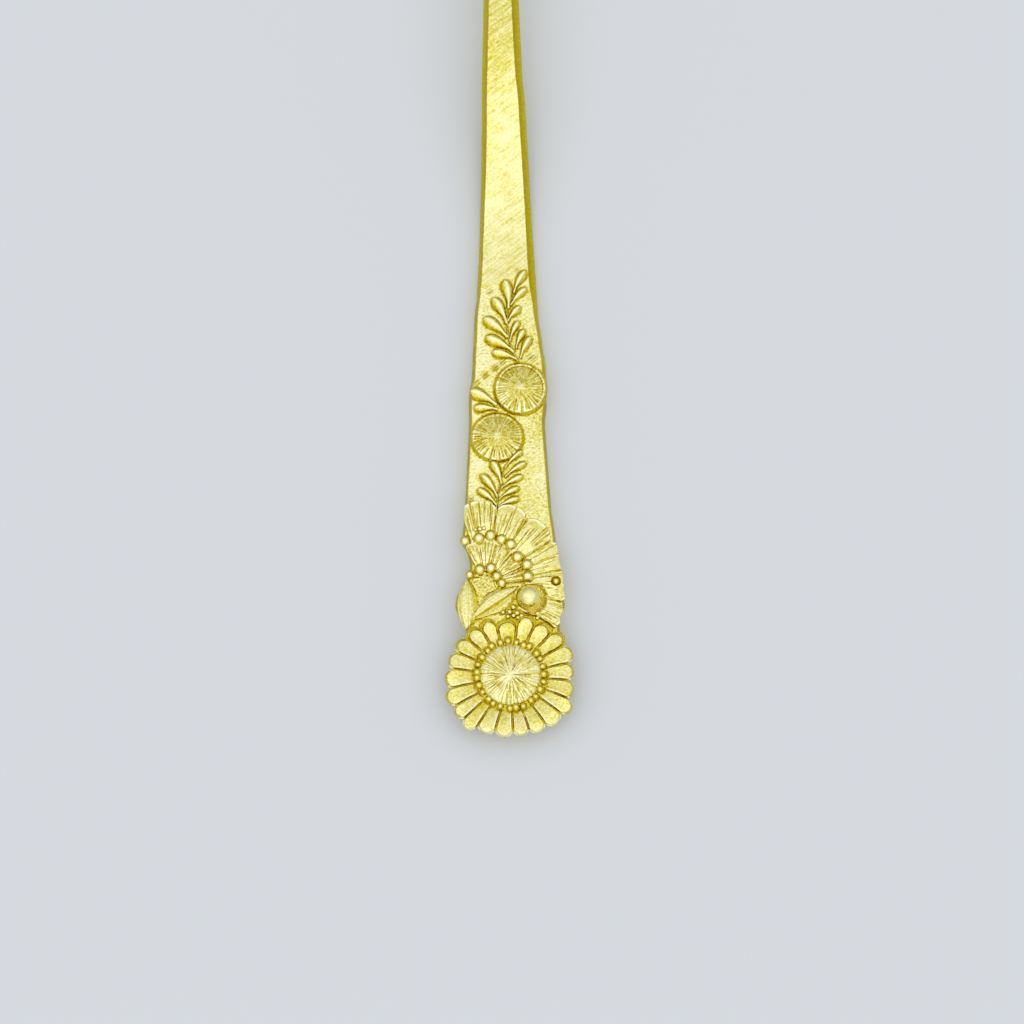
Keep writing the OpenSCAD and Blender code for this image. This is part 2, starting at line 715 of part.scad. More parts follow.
module upper_spray() {
    curve = [[0, seam], [-upper_stem_bow, upper_stem_length / 2], [-upper_stem_lean, upper_stem_length]];
    color(satin) on_face() difference() {
        translate(upper_spray_foot) {
            stem(curve);
            leaflets(curve, upper_left_places, upper_left_angles, long_leaflet_length, broad_leaflet_width,
                     leaflet_turn_angle);
            leaflets(curve, upper_right_places, upper_right_angles, short_leaflet_length,
                     narrow_leaflet_width, -leaflet_turn_angle);
        }
        clear_of_round(upper_flower_at, flower_radius);
    }
}

module lower_spray() {
    curve = [[0, seam], [lower_stem_bow, lower_stem_length / 2], [lower_stem_lean, lower_stem_length]];
    color(satin) on_face() difference() {
        translate(lower_spray_foot) {
            stem(curve);
            leaflets(curve, lower_left_places, lower_left_angles, short_leaflet_length, broad_leaflet_width,
                     leaflet_turn_angle);
            leaflets(curve, lower_right_places, lower_right_angles, short_leaflet_length,
                     narrow_leaflet_width, -leaflet_turn_angle);
        }
        clear_of_round(lower_flower_at, flower_radius);
        clear_of_round(half_flower_at, outer_fan_end);
    }
}

// Two leaflets that come out between the flowers
module side_leaves() {
    color(satin) on_face() difference() {
        translate(lower_flower_at + polar(flower_radius + seam, side_leaf_bearing)) {
            rotate(side_leaf_angles[0])
                leaflet(long_leaflet_length, broad_leaflet_width, leaflet_turn_angle);
            rotate(side_leaf_angles[1])
                leaflet(long_leaflet_length, narrow_leaflet_width, leaflet_turn_angle);
        }
        clear_of_round(lower_flower_at, flower_radius);
        clear_of_round(upper_flower_at, flower_radius);
    }
}

// Button flowers

module button_flower() {
    // The flutes run from the smooth middle to the rim, as shares of the radius
    flutes_from = 0.2;
    flutes_full = 0.9;
    rings = [
        for (r = [0.14, 0.36, 0.58, 0.78, 0.93, 1]) [
            for (i = [0:2 * flower_flutes - 1])
                let (a = 180 * i / flower_flutes, z = mix(flower_rim, flower_height, cos(90 * r)),
                     cut = flute_depth * smooth(share(flutes_from, flutes_full, r)))
                concat(polar(r * flower_radius, a), z - (i % 2) * cut)
        ]
    ];
    relief_rosette(flower_height, rings);
}

module upper_flower() { color(satin) on_face(upper_flower_at) button_flower(); }
module lower_flower() { color(satin) on_face(lower_flower_at) button_flower(); }

fork_blank();
daisy_wheel();
daisy_beads();
daisy_dome();
outer_fans();
outer_beads();
inner_fans();
inner_beads();
half_flower_core();
edge_bead();
pearl();
pearl_collar();
filler_grains();
upright_leaf();
slanted_leaf();
lower_spray();
lower_flower();
side_leaves();
upper_flower();
upper_spray();
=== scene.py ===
"""Dessert fork with a floral relief on its handle, finished in brushed, satin and polished brass.

Lengths are typed in millimetres and kept in metres. +Y runs from the daisy at the handle's end to the tines.
In plan, s is the distance along the fork from the daisy's centre, and x is the distance across.
"""
import math
import random

import bmesh
import bpy
from bpy.props import FloatProperty, FloatVectorProperty, IntProperty, PointerProperty
from mathutils import Matrix, Vector, kdtree, noise


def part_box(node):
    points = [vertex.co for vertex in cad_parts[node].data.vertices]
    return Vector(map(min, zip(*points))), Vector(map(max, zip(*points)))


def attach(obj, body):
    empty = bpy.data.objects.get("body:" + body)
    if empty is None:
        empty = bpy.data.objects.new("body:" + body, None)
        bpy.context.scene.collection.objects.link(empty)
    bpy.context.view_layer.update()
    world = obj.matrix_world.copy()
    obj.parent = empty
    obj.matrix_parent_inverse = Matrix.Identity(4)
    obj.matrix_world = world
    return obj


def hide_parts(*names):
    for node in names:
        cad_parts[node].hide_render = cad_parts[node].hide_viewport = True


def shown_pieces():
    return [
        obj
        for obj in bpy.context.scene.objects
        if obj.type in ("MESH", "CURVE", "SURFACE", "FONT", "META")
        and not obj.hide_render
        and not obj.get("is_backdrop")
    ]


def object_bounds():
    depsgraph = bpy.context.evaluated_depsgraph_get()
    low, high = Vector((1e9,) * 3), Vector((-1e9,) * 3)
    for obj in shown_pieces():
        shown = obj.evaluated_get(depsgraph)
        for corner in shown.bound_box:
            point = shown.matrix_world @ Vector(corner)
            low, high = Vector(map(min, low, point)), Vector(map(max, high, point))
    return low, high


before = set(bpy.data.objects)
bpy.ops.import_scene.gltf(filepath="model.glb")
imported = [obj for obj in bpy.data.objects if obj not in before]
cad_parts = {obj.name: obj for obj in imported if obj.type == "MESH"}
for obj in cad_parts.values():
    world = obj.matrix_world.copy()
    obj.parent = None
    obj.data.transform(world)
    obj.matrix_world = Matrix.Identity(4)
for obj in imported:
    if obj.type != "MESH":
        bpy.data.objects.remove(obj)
CAD_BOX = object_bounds()

bl_info = {
    "name": "Dessert Fork",
    "version": (1, 0, 0),
    "blender": (4, 5, 0),
    "location": "3D View > Sidebar > Fork",
    "description": "Builds a dessert fork with a floral relief on its handle",
    "category": "Add Mesh",
}

MM = 0.001
BODY = "root"
# Points of a mesh that lie nearer than this are merged
MERGE = 1e-7
# How far the ornaments' flat backs sink into the handle's face
SINK = 0.03 * MM
# Gap between neighbouring ornaments
SEAM = 0.08 * MM

# Datum of the plan: the daisy's centre, the handle's face and the tine tips
DAISY_Y = sum(corner.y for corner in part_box("daisy_dome")) / 2
FACE_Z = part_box("daisy_dome")[0].z
TIP_S = CAD_BOX[1].y - DAISY_Y


# Sizes and colours

def length(name, millimetres, description):
    return FloatProperty(name=name, description=description, default=millimetres * MM, unit="LENGTH",
                         subtype="DISTANCE", precision=5)


def station(name, millimetres, place):
    return length(name, millimetres, "Distance from the daisy's centre to " + place)


def angle(name, degrees, description):
    return FloatProperty(name=name, description=description, default=math.radians(degrees), subtype="ANGLE")


def ratio(name, value, description):
    return FloatProperty(name=name, description=description, default=value, subtype="FACTOR")


def count(name, number, description):
    return IntProperty(name=name, description=description, default=number, min=1)


def colour(name, value, description):
    return FloatVectorProperty(name=name, description=description, default=value, size=4, subtype="COLOR",
                               min=0, max=1)


class ForkBar(bpy.types.PropertyGroup):
    """Handle and neck"""
    end_radius: length("End radius", 6.85, "Radius of the handle's round end, under the daisy")
    waist_width: length("Waist width", 10.9, "Width where the handle passes under the daisy")
    shoulder_width: length("Shoulder width", 13.5, "Width at the widest place, beside the pearl")
    bar_width: length("Bar width", 11.1, "Width at the start of the long taper")
    neck_width: length("Neck width", 4.2, "Width of the neck")
    neck_thickness: length("Neck thickness", 2.8, "Thickness of the neck")
    waist_s: station("Waist", 5.8, "the waist")
    shoulder_s: station("Shoulder", 9, "the widest place")
    taper_s: station("Taper start", 19, "the start of the taper")
    taper_power: FloatProperty(name="Taper power", description="1 is a straight taper", default=1.3)
    flat_end_s: station("Flat end", 53.75, "the start of the arch")
    arch_height: length("Arch height", 5.5, "Height that the neck arches above the table")
    neck_bevel: length("Neck bevel", 0.9, "How far each filed side leans in, at the neck")
    lower_chamfer: length("Lower chamfer", 0.25, "Chamfer along the lower edges")
    notch_s: station("Notch", 13.9, "the notch in the left side")
    notch_depth: length("Notch depth", 1.15, "Depth of that notch")
    notch_radius: length("Notch radius", 4.8, "Radius of that notch")
    file_wobble: length("File wobble", 0.06, "How far the hand-filed edges wander")
    hammer_depth: length("Hammer depth", 0.035, "Depth of the low waves in the brushed face")
    cast_end_s: station("Cast end", 49.7, "the end of the cast ground")
    cast_step: length("Cast step", 0.05, "Step down from the brushed face to the cast ground")


class ForkHead(bpy.types.PropertyGroup):
    """Palm and tines"""
    head_width: length("Head width", 17.4, "Width across the tines at their roots")
    tip_span: length("Tip span", 15.8, "Width across the tine tips")
    head_length: length("Head length", 49, "Distance from the neck to the tine tips")
    tine_length: length("Tine length", 27, "Length of the tines")
    tine_count: count("Tines", 3, "Number of tines")
    slot_width: length("Slot width", 2.8, "Width of the slots at the tine roots")
    tip_width: length("Tip width", 2.1, "Width of a tine at its tip")
    palm_thickness: length("Palm thickness", 1.9, "Thickness of the palm")
    tip_thickness: length("Tip thickness", 1.3, "Thickness of the tine tips")
    tip_rise: length("Tip rise", 6, "Height of the tine tips above the table")
    belly_past_root: length("Belly", 3, "Distance past the tine roots where the palm touches the table")
    head_dish: length("Head dish", 0.7, "How far the sides of the palm stand above its middle")
    head_bevel: length("Head bevel", 0.4, "How far each filed side leans in, at the head")


class ForkDaisy(bpy.types.PropertyGroup):
    """Daisy at the handle's end"""
    radius: length("Radius", 7.85, "Usual distance from the centre to a petal's tip")
    petal_scallop: length("Petal scallop", 0.95, "Depth of the scallops between the petal tips")
    petal_height: length("Petal height", 1.2, "Height of the petals")
    groove: length("Groove", 0.04, "Half of the width of the grooves between the petals")
    petal_edge: length("Petal edge", 0.15, "Width of the rounded edge of a petal")
    petal_end: length("Petal end", 0.34, "Width of the rounded end of a petal")
    petal_band: length("Petal band", 0.6, "Width of the sunk band round the ends of the upper petals")
    dome_height: length("Dome height", 1.7, "Height of the dome")
    dome_strokes: count("Dome strokes", 160, "Number of strokes engraved in the dome")
    stroke_depth: length("Stroke depth", 0.12, "Depth of those strokes")
    bead_diameter: length("Bead diameter", 0.95, "Largest diameter of the beads round the dome")
    bead_count: count("Beads", 27, "Number of beads round the dome")
    ledge_height: length("Ledge height", 0.6, "Height of the ledge that carries them")


class ForkHalfFlower(bpy.types.PropertyGroup):
    """Half flower of ribbed petals and rows of beads"""
    left: length("Left", 3, "Distance from the fork's axis to the flower's centre")
    centre_s: station("Centre", 11.4, "the flower's centre")
    core_radius: length("Core radius", 1.62, "Radius of the grained core")
    core_height: length("Core height", 0.4, "Height of the core")
    inner_bead: length("Inner bead", 1.25, "Room for the beads of the inner row")
    outer_bead: length("Outer bead", 1.4, "Room for the beads of the outer row")
    inner_fan: length("Inner petal", 1.9, "Length of the inner petals")
    inner_scallop: length("Inner scallop", 0.35, "Depth of the scallops between the inner petals")
    inner_ribs: count("Inner ribs", 44, "Strokes on the inner petals")
    outer_fan: length("Outer petal", 4, "Length of the outer petals")
    outer_scallop: length("Outer scallop", 1.3, "Depth of the scallops between the outer petals")
    outer_ribs: count("Outer ribs", 86, "Strokes on the outer petals")
    fan_height: length("Petal height", 0.6, "Height of the petals")
    rib_depth: length("Rib depth", 0.19, "Depth of the strokes between the ribs")
    rim_notch: length("Rim notch", 0.3, "How far the strokes bite into the petals' rims")


class ForkLeaves(bpy.types.PropertyGroup):
    """Two pointed leaves between the daisy and the half flower"""
    upright_x: length("Upright foot across", -5.2, "Place of the upright leaf's foot across the fork")
    upright_s: length("Upright foot", 5.33, "Distance from the daisy's centre along the fork to that foot")
    upright_length: length("Upright length", 6.85, "Length of the upright leaf")
    upright_width: length("Upright width", 2.5, "Width of the upright leaf")
    slanted_x: length("Slanted foot across", -4.75, "Place of the slanted leaf's foot across the fork")
    slanted_s: length("Slanted foot", 6.99, "Distance from the daisy's centre along the fork to that foot")
    slanted_length: length("Slanted length", 7.3, "Length of the slanted leaf")
    slanted_width: length("Slanted width", 2.7, "Width of the slanted leaf")
    slanted_angle: angle("Slanted angle", 33.5, "Direction of the slanted leaf")
    height: length("Height", 0.75, "Height of both leaves")
    fullness: ratio("Fullness", 0.85, "Lower is fuller towards the ends")
    veins: count("Veins", 10, "Fine lines that run along each leaf")
    vein_depth: length("Vein depth", 0.04, "Depth of those lines")


class ForkFlowers(bpy.types.PropertyGroup):
    """Pair of fluted button flowers"""
    height: length("Height", 1.25, "Height of the middle")
    rim: length("Rim", 0.62, "Height of the rim")
    wall: length("Wall", 0.36, "Width of the sloped wall round the rim")
    flutes: count("Flutes", 46, "Number of flutes round the rim")
    flute_depth: length("Flute depth", 0.26, "Depth of the flutes")


class ForkSprays(bpy.types.PropertyGroup):
    """Leaf sprays between and above the flowers"""
    height: length("Height", 0.65, "Height of a leaflet")
    stem_width: length("Stem width", 0.3, "Width of the stems")
    curl: angle("Curl", 30, "How far each leaflet turns outwards from its root to its tip")


class ForkFinish(bpy.types.PropertyGroup):
    """Colours of the brass and of the stage"""
    bright: colour("Bright brass", (0.98, 0.925, 0.46, 1), "Brass on the open faces of the bar")
    satin: colour("Satin brass", (0.87, 0.795, 0.34, 1), "Brass on the open faces of the ornament")
    # Worn brass is also the colour of the painted highlights
    worn: colour("Worn brass", (0.99, 0.965, 0.6, 1), "Brass on ridges that are worn pale")
    toned: colour("Toned brass", (0.86, 0.785, 0.29, 1), "Brass in faintly darker patches")
    # Olive brass and patina are also the colours of the painted shade on slopes, walls and round the ornaments
    olive: colour("Olive brass", (0.69, 0.58, 0.025, 1), "Brass on slopes and along outlines")
    patina: colour("Patina", (0.53, 0.37, 0.005, 1), "Brass in the bottoms of grooves")
    floor: colour("Floor", (0.722, 0.742, 0.772, 1), "Plain pale floor")


def sizes(name):
    return getattr(bpy.context.scene, "fork_" + name)


# Plain arithmetic

def mix(a, b, t):
    return a + (b - a) * t


def share(a, b, s):
    return (s - a) / (b - a)


def clamp(t):
    return min(1.0, max(0.0, t))


def smooth(t):
    t = clamp(t)
    return t * t * (3 - 2 * t)


def chord(radius, off):
    """Half of a circle's chord at a distance from its middle."""
    return math.sqrt(max(0.0, radius ** 2 - off ** 2))


def polar(radius, direction):
    return Vector((radius * math.cos(direction), radius * math.sin(direction)))


def bezier(points, t):
    return (1 - t) ** 2 * points[0] + 2 * t * (1 - t) * points[1] + t ** 2 * points[2]


def spline(pairs, t):
    """Smooth steps through pairs of place and value."""
    for (a, low), (b, high) in zip(pairs, pairs[1:]):
        if t <= b:
            return mix(low, high, smooth(share(a, b, t)))
    return pairs[-1][1]


def plan_middle(node):
    low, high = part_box(node)
    return Vector(((low.x + high.x) / 2, (low.y + high.y) / 2 - DAISY_Y))


def plan_radius(node):
    low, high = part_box(node)
    return (high.x - low.x) / 2


class Strokes:
    """Engraved lines at uneven steps over a span, each with its own depth, start, end and slant."""

    def __init__(self, seed, number, late=0.35, early=1.2, shallow=0.45, slant=0.0):
        draw = random.Random(seed)
        self.number = number
        self.lines = [(k + draw.uniform(0.15, 0.85), draw.uniform(shallow, 1), draw.uniform(0, late),
                       draw.uniform(early, 1.2), draw.uniform(-slant, slant)) for k in range(number)]

    def cut(self, place, along, width=0.5, run_in=0.15):
        """Share of the full depth at a place across the span, from 0 to 1, and along the lines."""
        at = place * self.number
        deepest = 0
        for k in range(int(at) - 1, int(at) + 2):
            turn, own = divmod(k, self.number)
            line, depth, start, end, slant = self.lines[own]
            away = abs(at - line - turn * self.number - slant * (along - 0.5))
            if away < width and start < along < end:
                ends = smooth((along - start) / run_in) * smooth((end - along) / run_in)
                deepest = max(deepest, depth * (1 - away / width) * ends)
        return deepest

    def burr(self, place, along, width=0.5):
        """Share of the painted highlight, as of a bright burr, that each line has along one side."""
        return self.cut(place + 0.5 / self.number, along, width)


# Meshes

def new_mesh():
    """Mesh whose points carry a tone: worn pale and painted highlights below 0, bright at 0, olive at 0.5 and dark at
    1, for patina in grooves and for painted shade.
    """
    bm = bmesh.new()
    bm.verts.layers.float.new("patina_and_painted_light")
    return bm


def of_kind(items, kind):
    return [item for item in items if isinstance(item, kind)]


def add_sheet(bm, columns, rows, surface):
    """Adds a sculpted sheet on a flat back: surface(u, v) gives a plan point, a height and a tone."""
    patina_and_painted_light = bm.verts.layers.float["patina_and_painted_light"]
    corner = Vector((0.5, 0.5))
    grid = bmesh.ops.create_grid(bm, x_segments=columns, y_segments=rows, size=0.5)["verts"]
    for vert in grid:
        at, height, vert[patina_and_painted_light] = surface(*(vert.co.xy + corner))
        vert.co = (at.x, DAISY_Y + at.y, FACE_Z + height)
    bmesh.ops.remove_doubles(bm, verts=grid, dist=MERGE)
    faces = list(dict.fromkeys(face for vert in grid if vert.is_valid for face in vert.link_faces))
    bmesh.ops.recalc_face_normals(bm, faces=faces)
    # The extrusion turns the sheet over, so the sheet has to look down before it
    if sum(face.normal.z * face.calc_area() for face in faces) > 0:
        bmesh.ops.reverse_faces(bm, faces=faces)
    for vert in of_kind(bmesh.ops.extrude_face_region(bm, geom=faces)["geom"], bmesh.types.BMVert):
        vert.co.z = FACE_Z - SINK
        vert[patina_and_painted_light] = 1


# Share of a ball's radius that stands between its foot and its middle
FOOT_SHARE = 0.8
# Patina and painted shade round a bead's foot, and the level where it starts to clear
FOOT_TONE, FOOT_LEVEL = 0.95, 0.42
# Levels between which the painted highlight on a bead's top sets in
SHINE_FROM, SHINE_TO = 0.82, 0.92


def add_bead(bm, at, diameter, seat=0.0, tone=0.0, shine=0.0, ring_top=0.68):
    """Adds a ball with a flat foot, at a plan point and a height above the handle's face.

    The patina and painted shade of its foot clear to its tone at the level ring_top, and shine paints a highlight on
    its top. Levels are shares of the diameter.
    """
    patina_and_painted_light = bm.verts.layers.float["patina_and_painted_light"]
    foot = FACE_Z + seat - SINK
    place = Matrix.Translation((at.x, DAISY_Y + at.y, FACE_Z + seat + FOOT_SHARE * diameter / 2))
    ball = bmesh.ops.create_icosphere(bm, subdivisions=4, radius=diameter / 2, matrix=place)["verts"]
    faces = list(dict.fromkeys(face for vert in ball for face in vert.link_faces))
    edges = list(dict.fromkeys(edge for vert in ball for edge in vert.link_edges))
    cut = bmesh.ops.bisect_plane(bm, geom=ball + edges + faces, plane_co=(at.x, at.y, foot),
                                 plane_no=(0, 0, 1), clear_inner=True)["geom_cut"]
    bmesh.ops.contextual_create(bm, geom=of_kind(cut, bmesh.types.BMEdge))
    bmesh.ops.recalc_face_normals(bm, faces=bm.faces)
    for vert in ball + of_kind(cut, bmesh.types.BMVert):
        if vert.is_valid:
            level = (vert.co.z - foot) / diameter
            ring = mix(FOOT_TONE, tone, smooth(share(FOOT_LEVEL, ring_top, level)))
            vert[patina_and_painted_light] = mix(ring, -shine, smooth(share(SHINE_FROM, SHINE_TO, level)))


# Sloped faces that face this way in plan, towards the tines and a little left, get the most painted shade
SHADED_SIDE = Vector((-0.42, 0.91))
# Share of the painted shade that sloped faces get on the lit side and on the shaded side
LIT_SIDE_SHARE, SHADED_SIDE_SHARE = 0.3, 1.2
# Painted shade on sloped faces and on walls, and the upward part of a normal from which and to which each sets in
SLOPE_SHADE = ((0.55, 0.985, 0.8), (0.3, 0.75, 0.25))


def painted_slope_shade(normal):
    """Painted shade by how a surface lies: none on open faces, some on sloped ones, most on walls that face the
    shaded side.
    """
    steep = sum(tone * smooth(share(start, end, normal.z)) for tone, start, end in SLOPE_SHADE)
    lean = normal.xy.length
    toward_shade = normal.xy.dot(SHADED_SIDE) / lean if lean > 0 else 0
    return steep * mix(LIT_SIDE_SHARE, SHADED_SIDE_SHARE, smooth(0.5 + 0.5 * toward_shade))


def link_new(name, data):
    """Object at the origin that holds a mesh, a camera or a lamp."""
    item = bpy.data.objects.new(name, data)
    bpy.context.scene.collection.objects.link(item)
    return item


def make_piece(bm, node, slot, sharp=42, slopes=1.0):
    """Turns a mesh into the finished piece that stands for a CAD node, with painted shade on its sloped faces.

    Edges sharper than an angle in degrees stay crisp.
    """
    bm.normal_update()
    patina_and_painted_light = bm.verts.layers.float["patina_and_painted_light"]
    for face in bm.faces:
        face.smooth = True
    for vert in bm.verts:
        if vert[patina_and_painted_light] >= 0:
            vert[patina_and_painted_light] = max(vert[patina_and_painted_light], slopes * painted_slope_shade(vert.normal))
    mesh = bpy.data.meshes.new("finished_" + node)
    bm.to_mesh(mesh)
    bm.free()
    mesh.set_sharp_from_angle(angle=math.radians(sharp))
    mesh.materials.append(finish(slot))
    piece = link_new("finished_" + node, mesh)
    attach(piece, BODY)
    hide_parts(node)


def make_relief(node, surface, columns, rows, slopes=1.0):
    """Makes a satin ornament from one sculpted sheet."""
    bm = new_mesh()
    add_sheet(bm, columns, rows, surface)
    make_piece(bm, node, "satin_relief", slopes=slopes)


# Finishes

def put(tree, kind, inputs=None, **settings):
    """Adds a node with its settings, and links or sets each input that is named or numbered."""
    node = tree.nodes.new(kind)
    for key, value in settings.items():
        setattr(node, key, value)
    for key, value in (inputs or {}).items():
        if isinstance(value, bpy.types.NodeSocket):
            tree.links.new(value, node.inputs[key])
        else:
            node.inputs[key].default_value = value
    return node


def new_group(name, inputs, output, kind):
    """Starts a shader node group and returns its tree, its inputs and its output node."""
    group = bpy.data.node_groups.new(name, "ShaderNodeTree")
    for label, (socket_kind, value) in inputs.items():
        socket = group.interface.new_socket(label, in_out="INPUT", socket_type="NodeSocket" + socket_kind)
        if value is not None:
            socket.default_value = value
    group.interface.new_socket(output, in_out="OUTPUT", socket_type="NodeSocket" + kind)
    return group, put(group, "NodeGroupInput").outputs, put(group, "NodeGroupOutput")


def group_node(tree, name, build, inputs):
    group = bpy.data.node_groups.get(name) or build(name)
    return put(tree, "ShaderNodeGroup", inputs, node_tree=group).outputs[0]


def ramp(tree, value, start, end, low=0.0, high=1.0, kind="LINEAR"):
    """Value that goes from low to high while the given one goes from start to end."""
    inputs = {"Value": value, "From Min": start, "From Max": end, "To Min": low, "To Max": high}
    return put(tree, "ShaderNodeMapRange", inputs, interpolation_type=kind).outputs[0]


def calculate(tree, operation, *values):
    return put(tree, "ShaderNodeMath", dict(enumerate(values)), operation=operation).outputs[0]


def clouds(tree, place, scale, detail):
    return put(tree, "ShaderNodeTexNoise", {"Vector": place, "Scale": scale, "Detail": detail}).outputs["Fac"]


def attribute(tree, name):
    return put(tree, "ShaderNodeAttribute", attribute_name=name).outputs["Fac"]


def blend(tree, factor, low, high):
    """Mix of two colours. The sockets share their names, so they are numbered here."""
    return put(tree, "ShaderNodeMix", {0: factor, 6: low, 7: high}, data_type="RGBA").outputs[2]


def build_tone(name):
    """Brass toned in patches, pale where the points' tone falls below 0 and olive to patina as it rises above: that
    tone carries wear and patina, and also painted highlights and painted shade.
    """
    colours = {label: ("Color", None) for label in ("Bright", "Toned", "Worn", "Olive", "Patina")}
    group, given, out = new_group(
        name, {"Vector": ("Vector", None), "Patina and painted light": ("Float", 0), "Height": ("Float", 0.5),
               "Pitting": ("Float", 0.5), **colours}, "Color", "Color")
    patches = clouds(group, given["Vector"], scale=420, detail=4)
    speckle = clouds(group, given["Vector"], scale=3200, detail=3)
    above = calculate(group, "SUBTRACT", speckle, given["Height"])
    pits = calculate(group, "MULTIPLY_ADD", above, given["Pitting"], given["Patina and painted light"])
    tone = given["Bright"]
    for label, value, start, end in (("Toned", patches, 0.3, 0.7), ("Worn", pits, 0, -0.5),
                                     ("Olive", pits, 0, 0.5), ("Patina", pits, 0.45, 0.95)):
        tone = blend(group, ramp(group, value, start, end), tone, given[label])
    group.links.new(tone, out.inputs[0])
    return group


def build_brush(name):
    """Height of brush strokes of a given length and width, drawn in one direction."""
    group, given, out = new_group(
        name, {"Vector": ("Vector", None), "Direction": ("Float", 0), "Length": ("Float", 4 * MM),
               "Width": ("Float", 0.2 * MM)}, "Height", "Float")
    turned = put(group, "ShaderNodeVectorRotate", {"Vector": given["Vector"], "Angle": given["Direction"]},
                 rotation_type="Z_AXIS", invert=True)
    steps = put(group, "ShaderNodeCombineXYZ", {"X": given["Length"], "Y": given["Width"], "Z": given["Width"]})
    scaled = put(group, "ShaderNodeVectorMath", {0: turned.outputs[0], 1: steps.outputs[0]}, operation="DIVIDE")
    group.links.new(clouds(group, scaled.outputs[0], scale=1, detail=3), out.inputs[0])
    return group


def build_grain(name):
    """Height of a sand-cast grain of a given size."""
    group, given, out = new_group(
        name, {"Vector": ("Vector", None), "Size": ("Float", 0.25 * MM)}, "Height", "Float")
    scale = calculate(group, "DIVIDE", 1.0, given["Size"])
    grains = put(group, "ShaderNodeTexVoronoi", {"Vector": given["Vector"], "Scale": scale, "Randomness": 1},
                 feature="SMOOTH_F1")
    pits = ramp(group, grains.outputs["Distance"], 0.05, 0.6, high=0.36, kind="SMOOTHSTEP")
    dust = clouds(group, given["Vector"], scale=scale, detail=4)
    group.links.new(calculate(group, "MULTIPLY_ADD", dust, 0.7, pits), out.inputs[0])
    return group


def brush(tree, place, degrees, long, wide):
    """Height of brush strokes in a direction, with their length and width in millimetres."""
    return group_node(tree, "Brush strokes", build_brush, {
        "Vector": place, "Direction": math.radians(degrees), "Length": long * MM, "Width": wide * MM})


def grain(tree, place, size):
    """Height of a cast grain of a size in millimetres."""
    return group_node(tree, "Cast grain", build_grain, {"Vector": place, "Size": size * MM})


def start_finish(name):
    """Material, its nodes and the place on the piece."""
    material = bpy.data.materials.new(name)
    material.use_nodes = True
    return material, material.node_tree, put(material.node_tree, "ShaderNodeTexCoord").outputs["Object"]


def set_surface(tree, place, height, bright, pitting, rough, depth):
    """Brass whose patina, roughness and bump follow one height."""
    look = sizes("finish")
    shader = tree.nodes["Principled BSDF"]
    shader.inputs["Metallic"].default_value = 1
    shader.inputs["Specular Tint"].default_value = look.worn
    tone = group_node(tree, "Brass tone", build_tone, {
        "Vector": place, "Patina and painted light": attribute(tree, "patina_and_painted_light"), "Height": height, "Pitting": pitting,
        "Bright": bright, "Toned": look.toned, "Worn": look.worn, "Olive": look.olive, "Patina": look.patina})
    polish = ramp(tree, height, 0.25, 0.75, low=rough[0], high=rough[1])
    bump = put(tree, "ShaderNodeBump", {"Height": height, "Strength": 1, "Distance": depth}).outputs[0]
    for socket, value in (("Base Color", tone), ("Roughness", polish), ("Normal", bump)):
        tree.links.new(value, shader.inputs[socket])


def brushed_bar(name):
    """Diagonal brush strokes on the bar, cast grain on the ground of the ornament, and hatched patches."""
    material, tree, place = start_finish(name)
    height = brush(tree, place, degrees=38, long=3.4, wide=0.34)
    ground = grain(tree, place, size=0.28)
    hatch = ramp(tree, brush(tree, place, degrees=40, long=3, wide=0.2), 0.38, 0.62)
    for where, next_height in (("cast", ground), ("hatch", hatch), ("side", 0.5)):
        height = put(tree, "ShaderNodeMix", {"Factor": attribute(tree, where), "A": height,
                                             "B": next_height}).outputs[0]
    set_surface(tree, place, height, sizes("finish").bright, pitting=1.2, rough=(0.2, 0.3), depth=0.12 * MM)
    return material


def satin_relief(name):
    """Finely grained satin with short strokes of the burnisher."""
    material, tree, place = start_finish(name)
    strokes = brush(tree, place, degrees=70, long=0.6, wide=0.14)
    height = put(tree, "ShaderNodeMix", {"Factor": 0.6, "A": strokes, "B": grain(tree, place, size=0.26)}).outputs[0]
    set_surface(tree, place, height, sizes("finish").satin, pitting=1.3, rough=(0.12, 0.22), depth=0.07 * MM)
    return material


def polished_beads(name):
    """Polish with faint wear marks."""
    material, tree, place = start_finish(name)
    marks = brush(tree, place, degrees=15, long=0.8, wide=0.25)
    set_surface(tree, place, marks, sizes("finish").bright, pitting=0.6, rough=(0.04, 0.1), depth=0.015 * MM)
    return material


FINISHES = {"brushed_bar": brushed_bar, "satin_relief": satin_relief, "polished_beads": polished_beads}


def finish(slot):
    name = "finish_" + slot
    return bpy.data.materials.get(name) or FINISHES[slot](name)


# Blank

# Hand-filed sides, in millimetres: place along the fork and how far the side lies to the right of the even outline
LEFT_FILED = ((14, 0), (17.9, -0.12), (21, 0), (32, 0), (34.8, -0.15), (36.3, -0.15), (38, 0.08), (45.6, 0.08),
              (48.7, 0.26), (54, 0.33), (61, 0.29), (70, 0.16), (76, 0))
RIGHT_FILED = ((3, 0), (5, 0.75), (5.9, 0.8), (7.4, 0.2), (10, 0.17), (11.9, 0.37), (14.9, 0.2), (17.9, 0.2),
               (21, 0), (31.7, 0), (34.8, 0.44), (39.4, 0.65), (42.6, 0.41), (46, 0.17), (72, 0.19), (77, 0))
# Place along the fork and how far each filed side leans in
LEFT_LEAN = ((17, 0.32), (40, 0.42), (52, 0.5), (80, 0.7))
RIGHT_LEAN = ((17, 0.34), (40, 0.45), (46, 0.55), (51, 0.88), (60, 0.8), (80, 0.9))
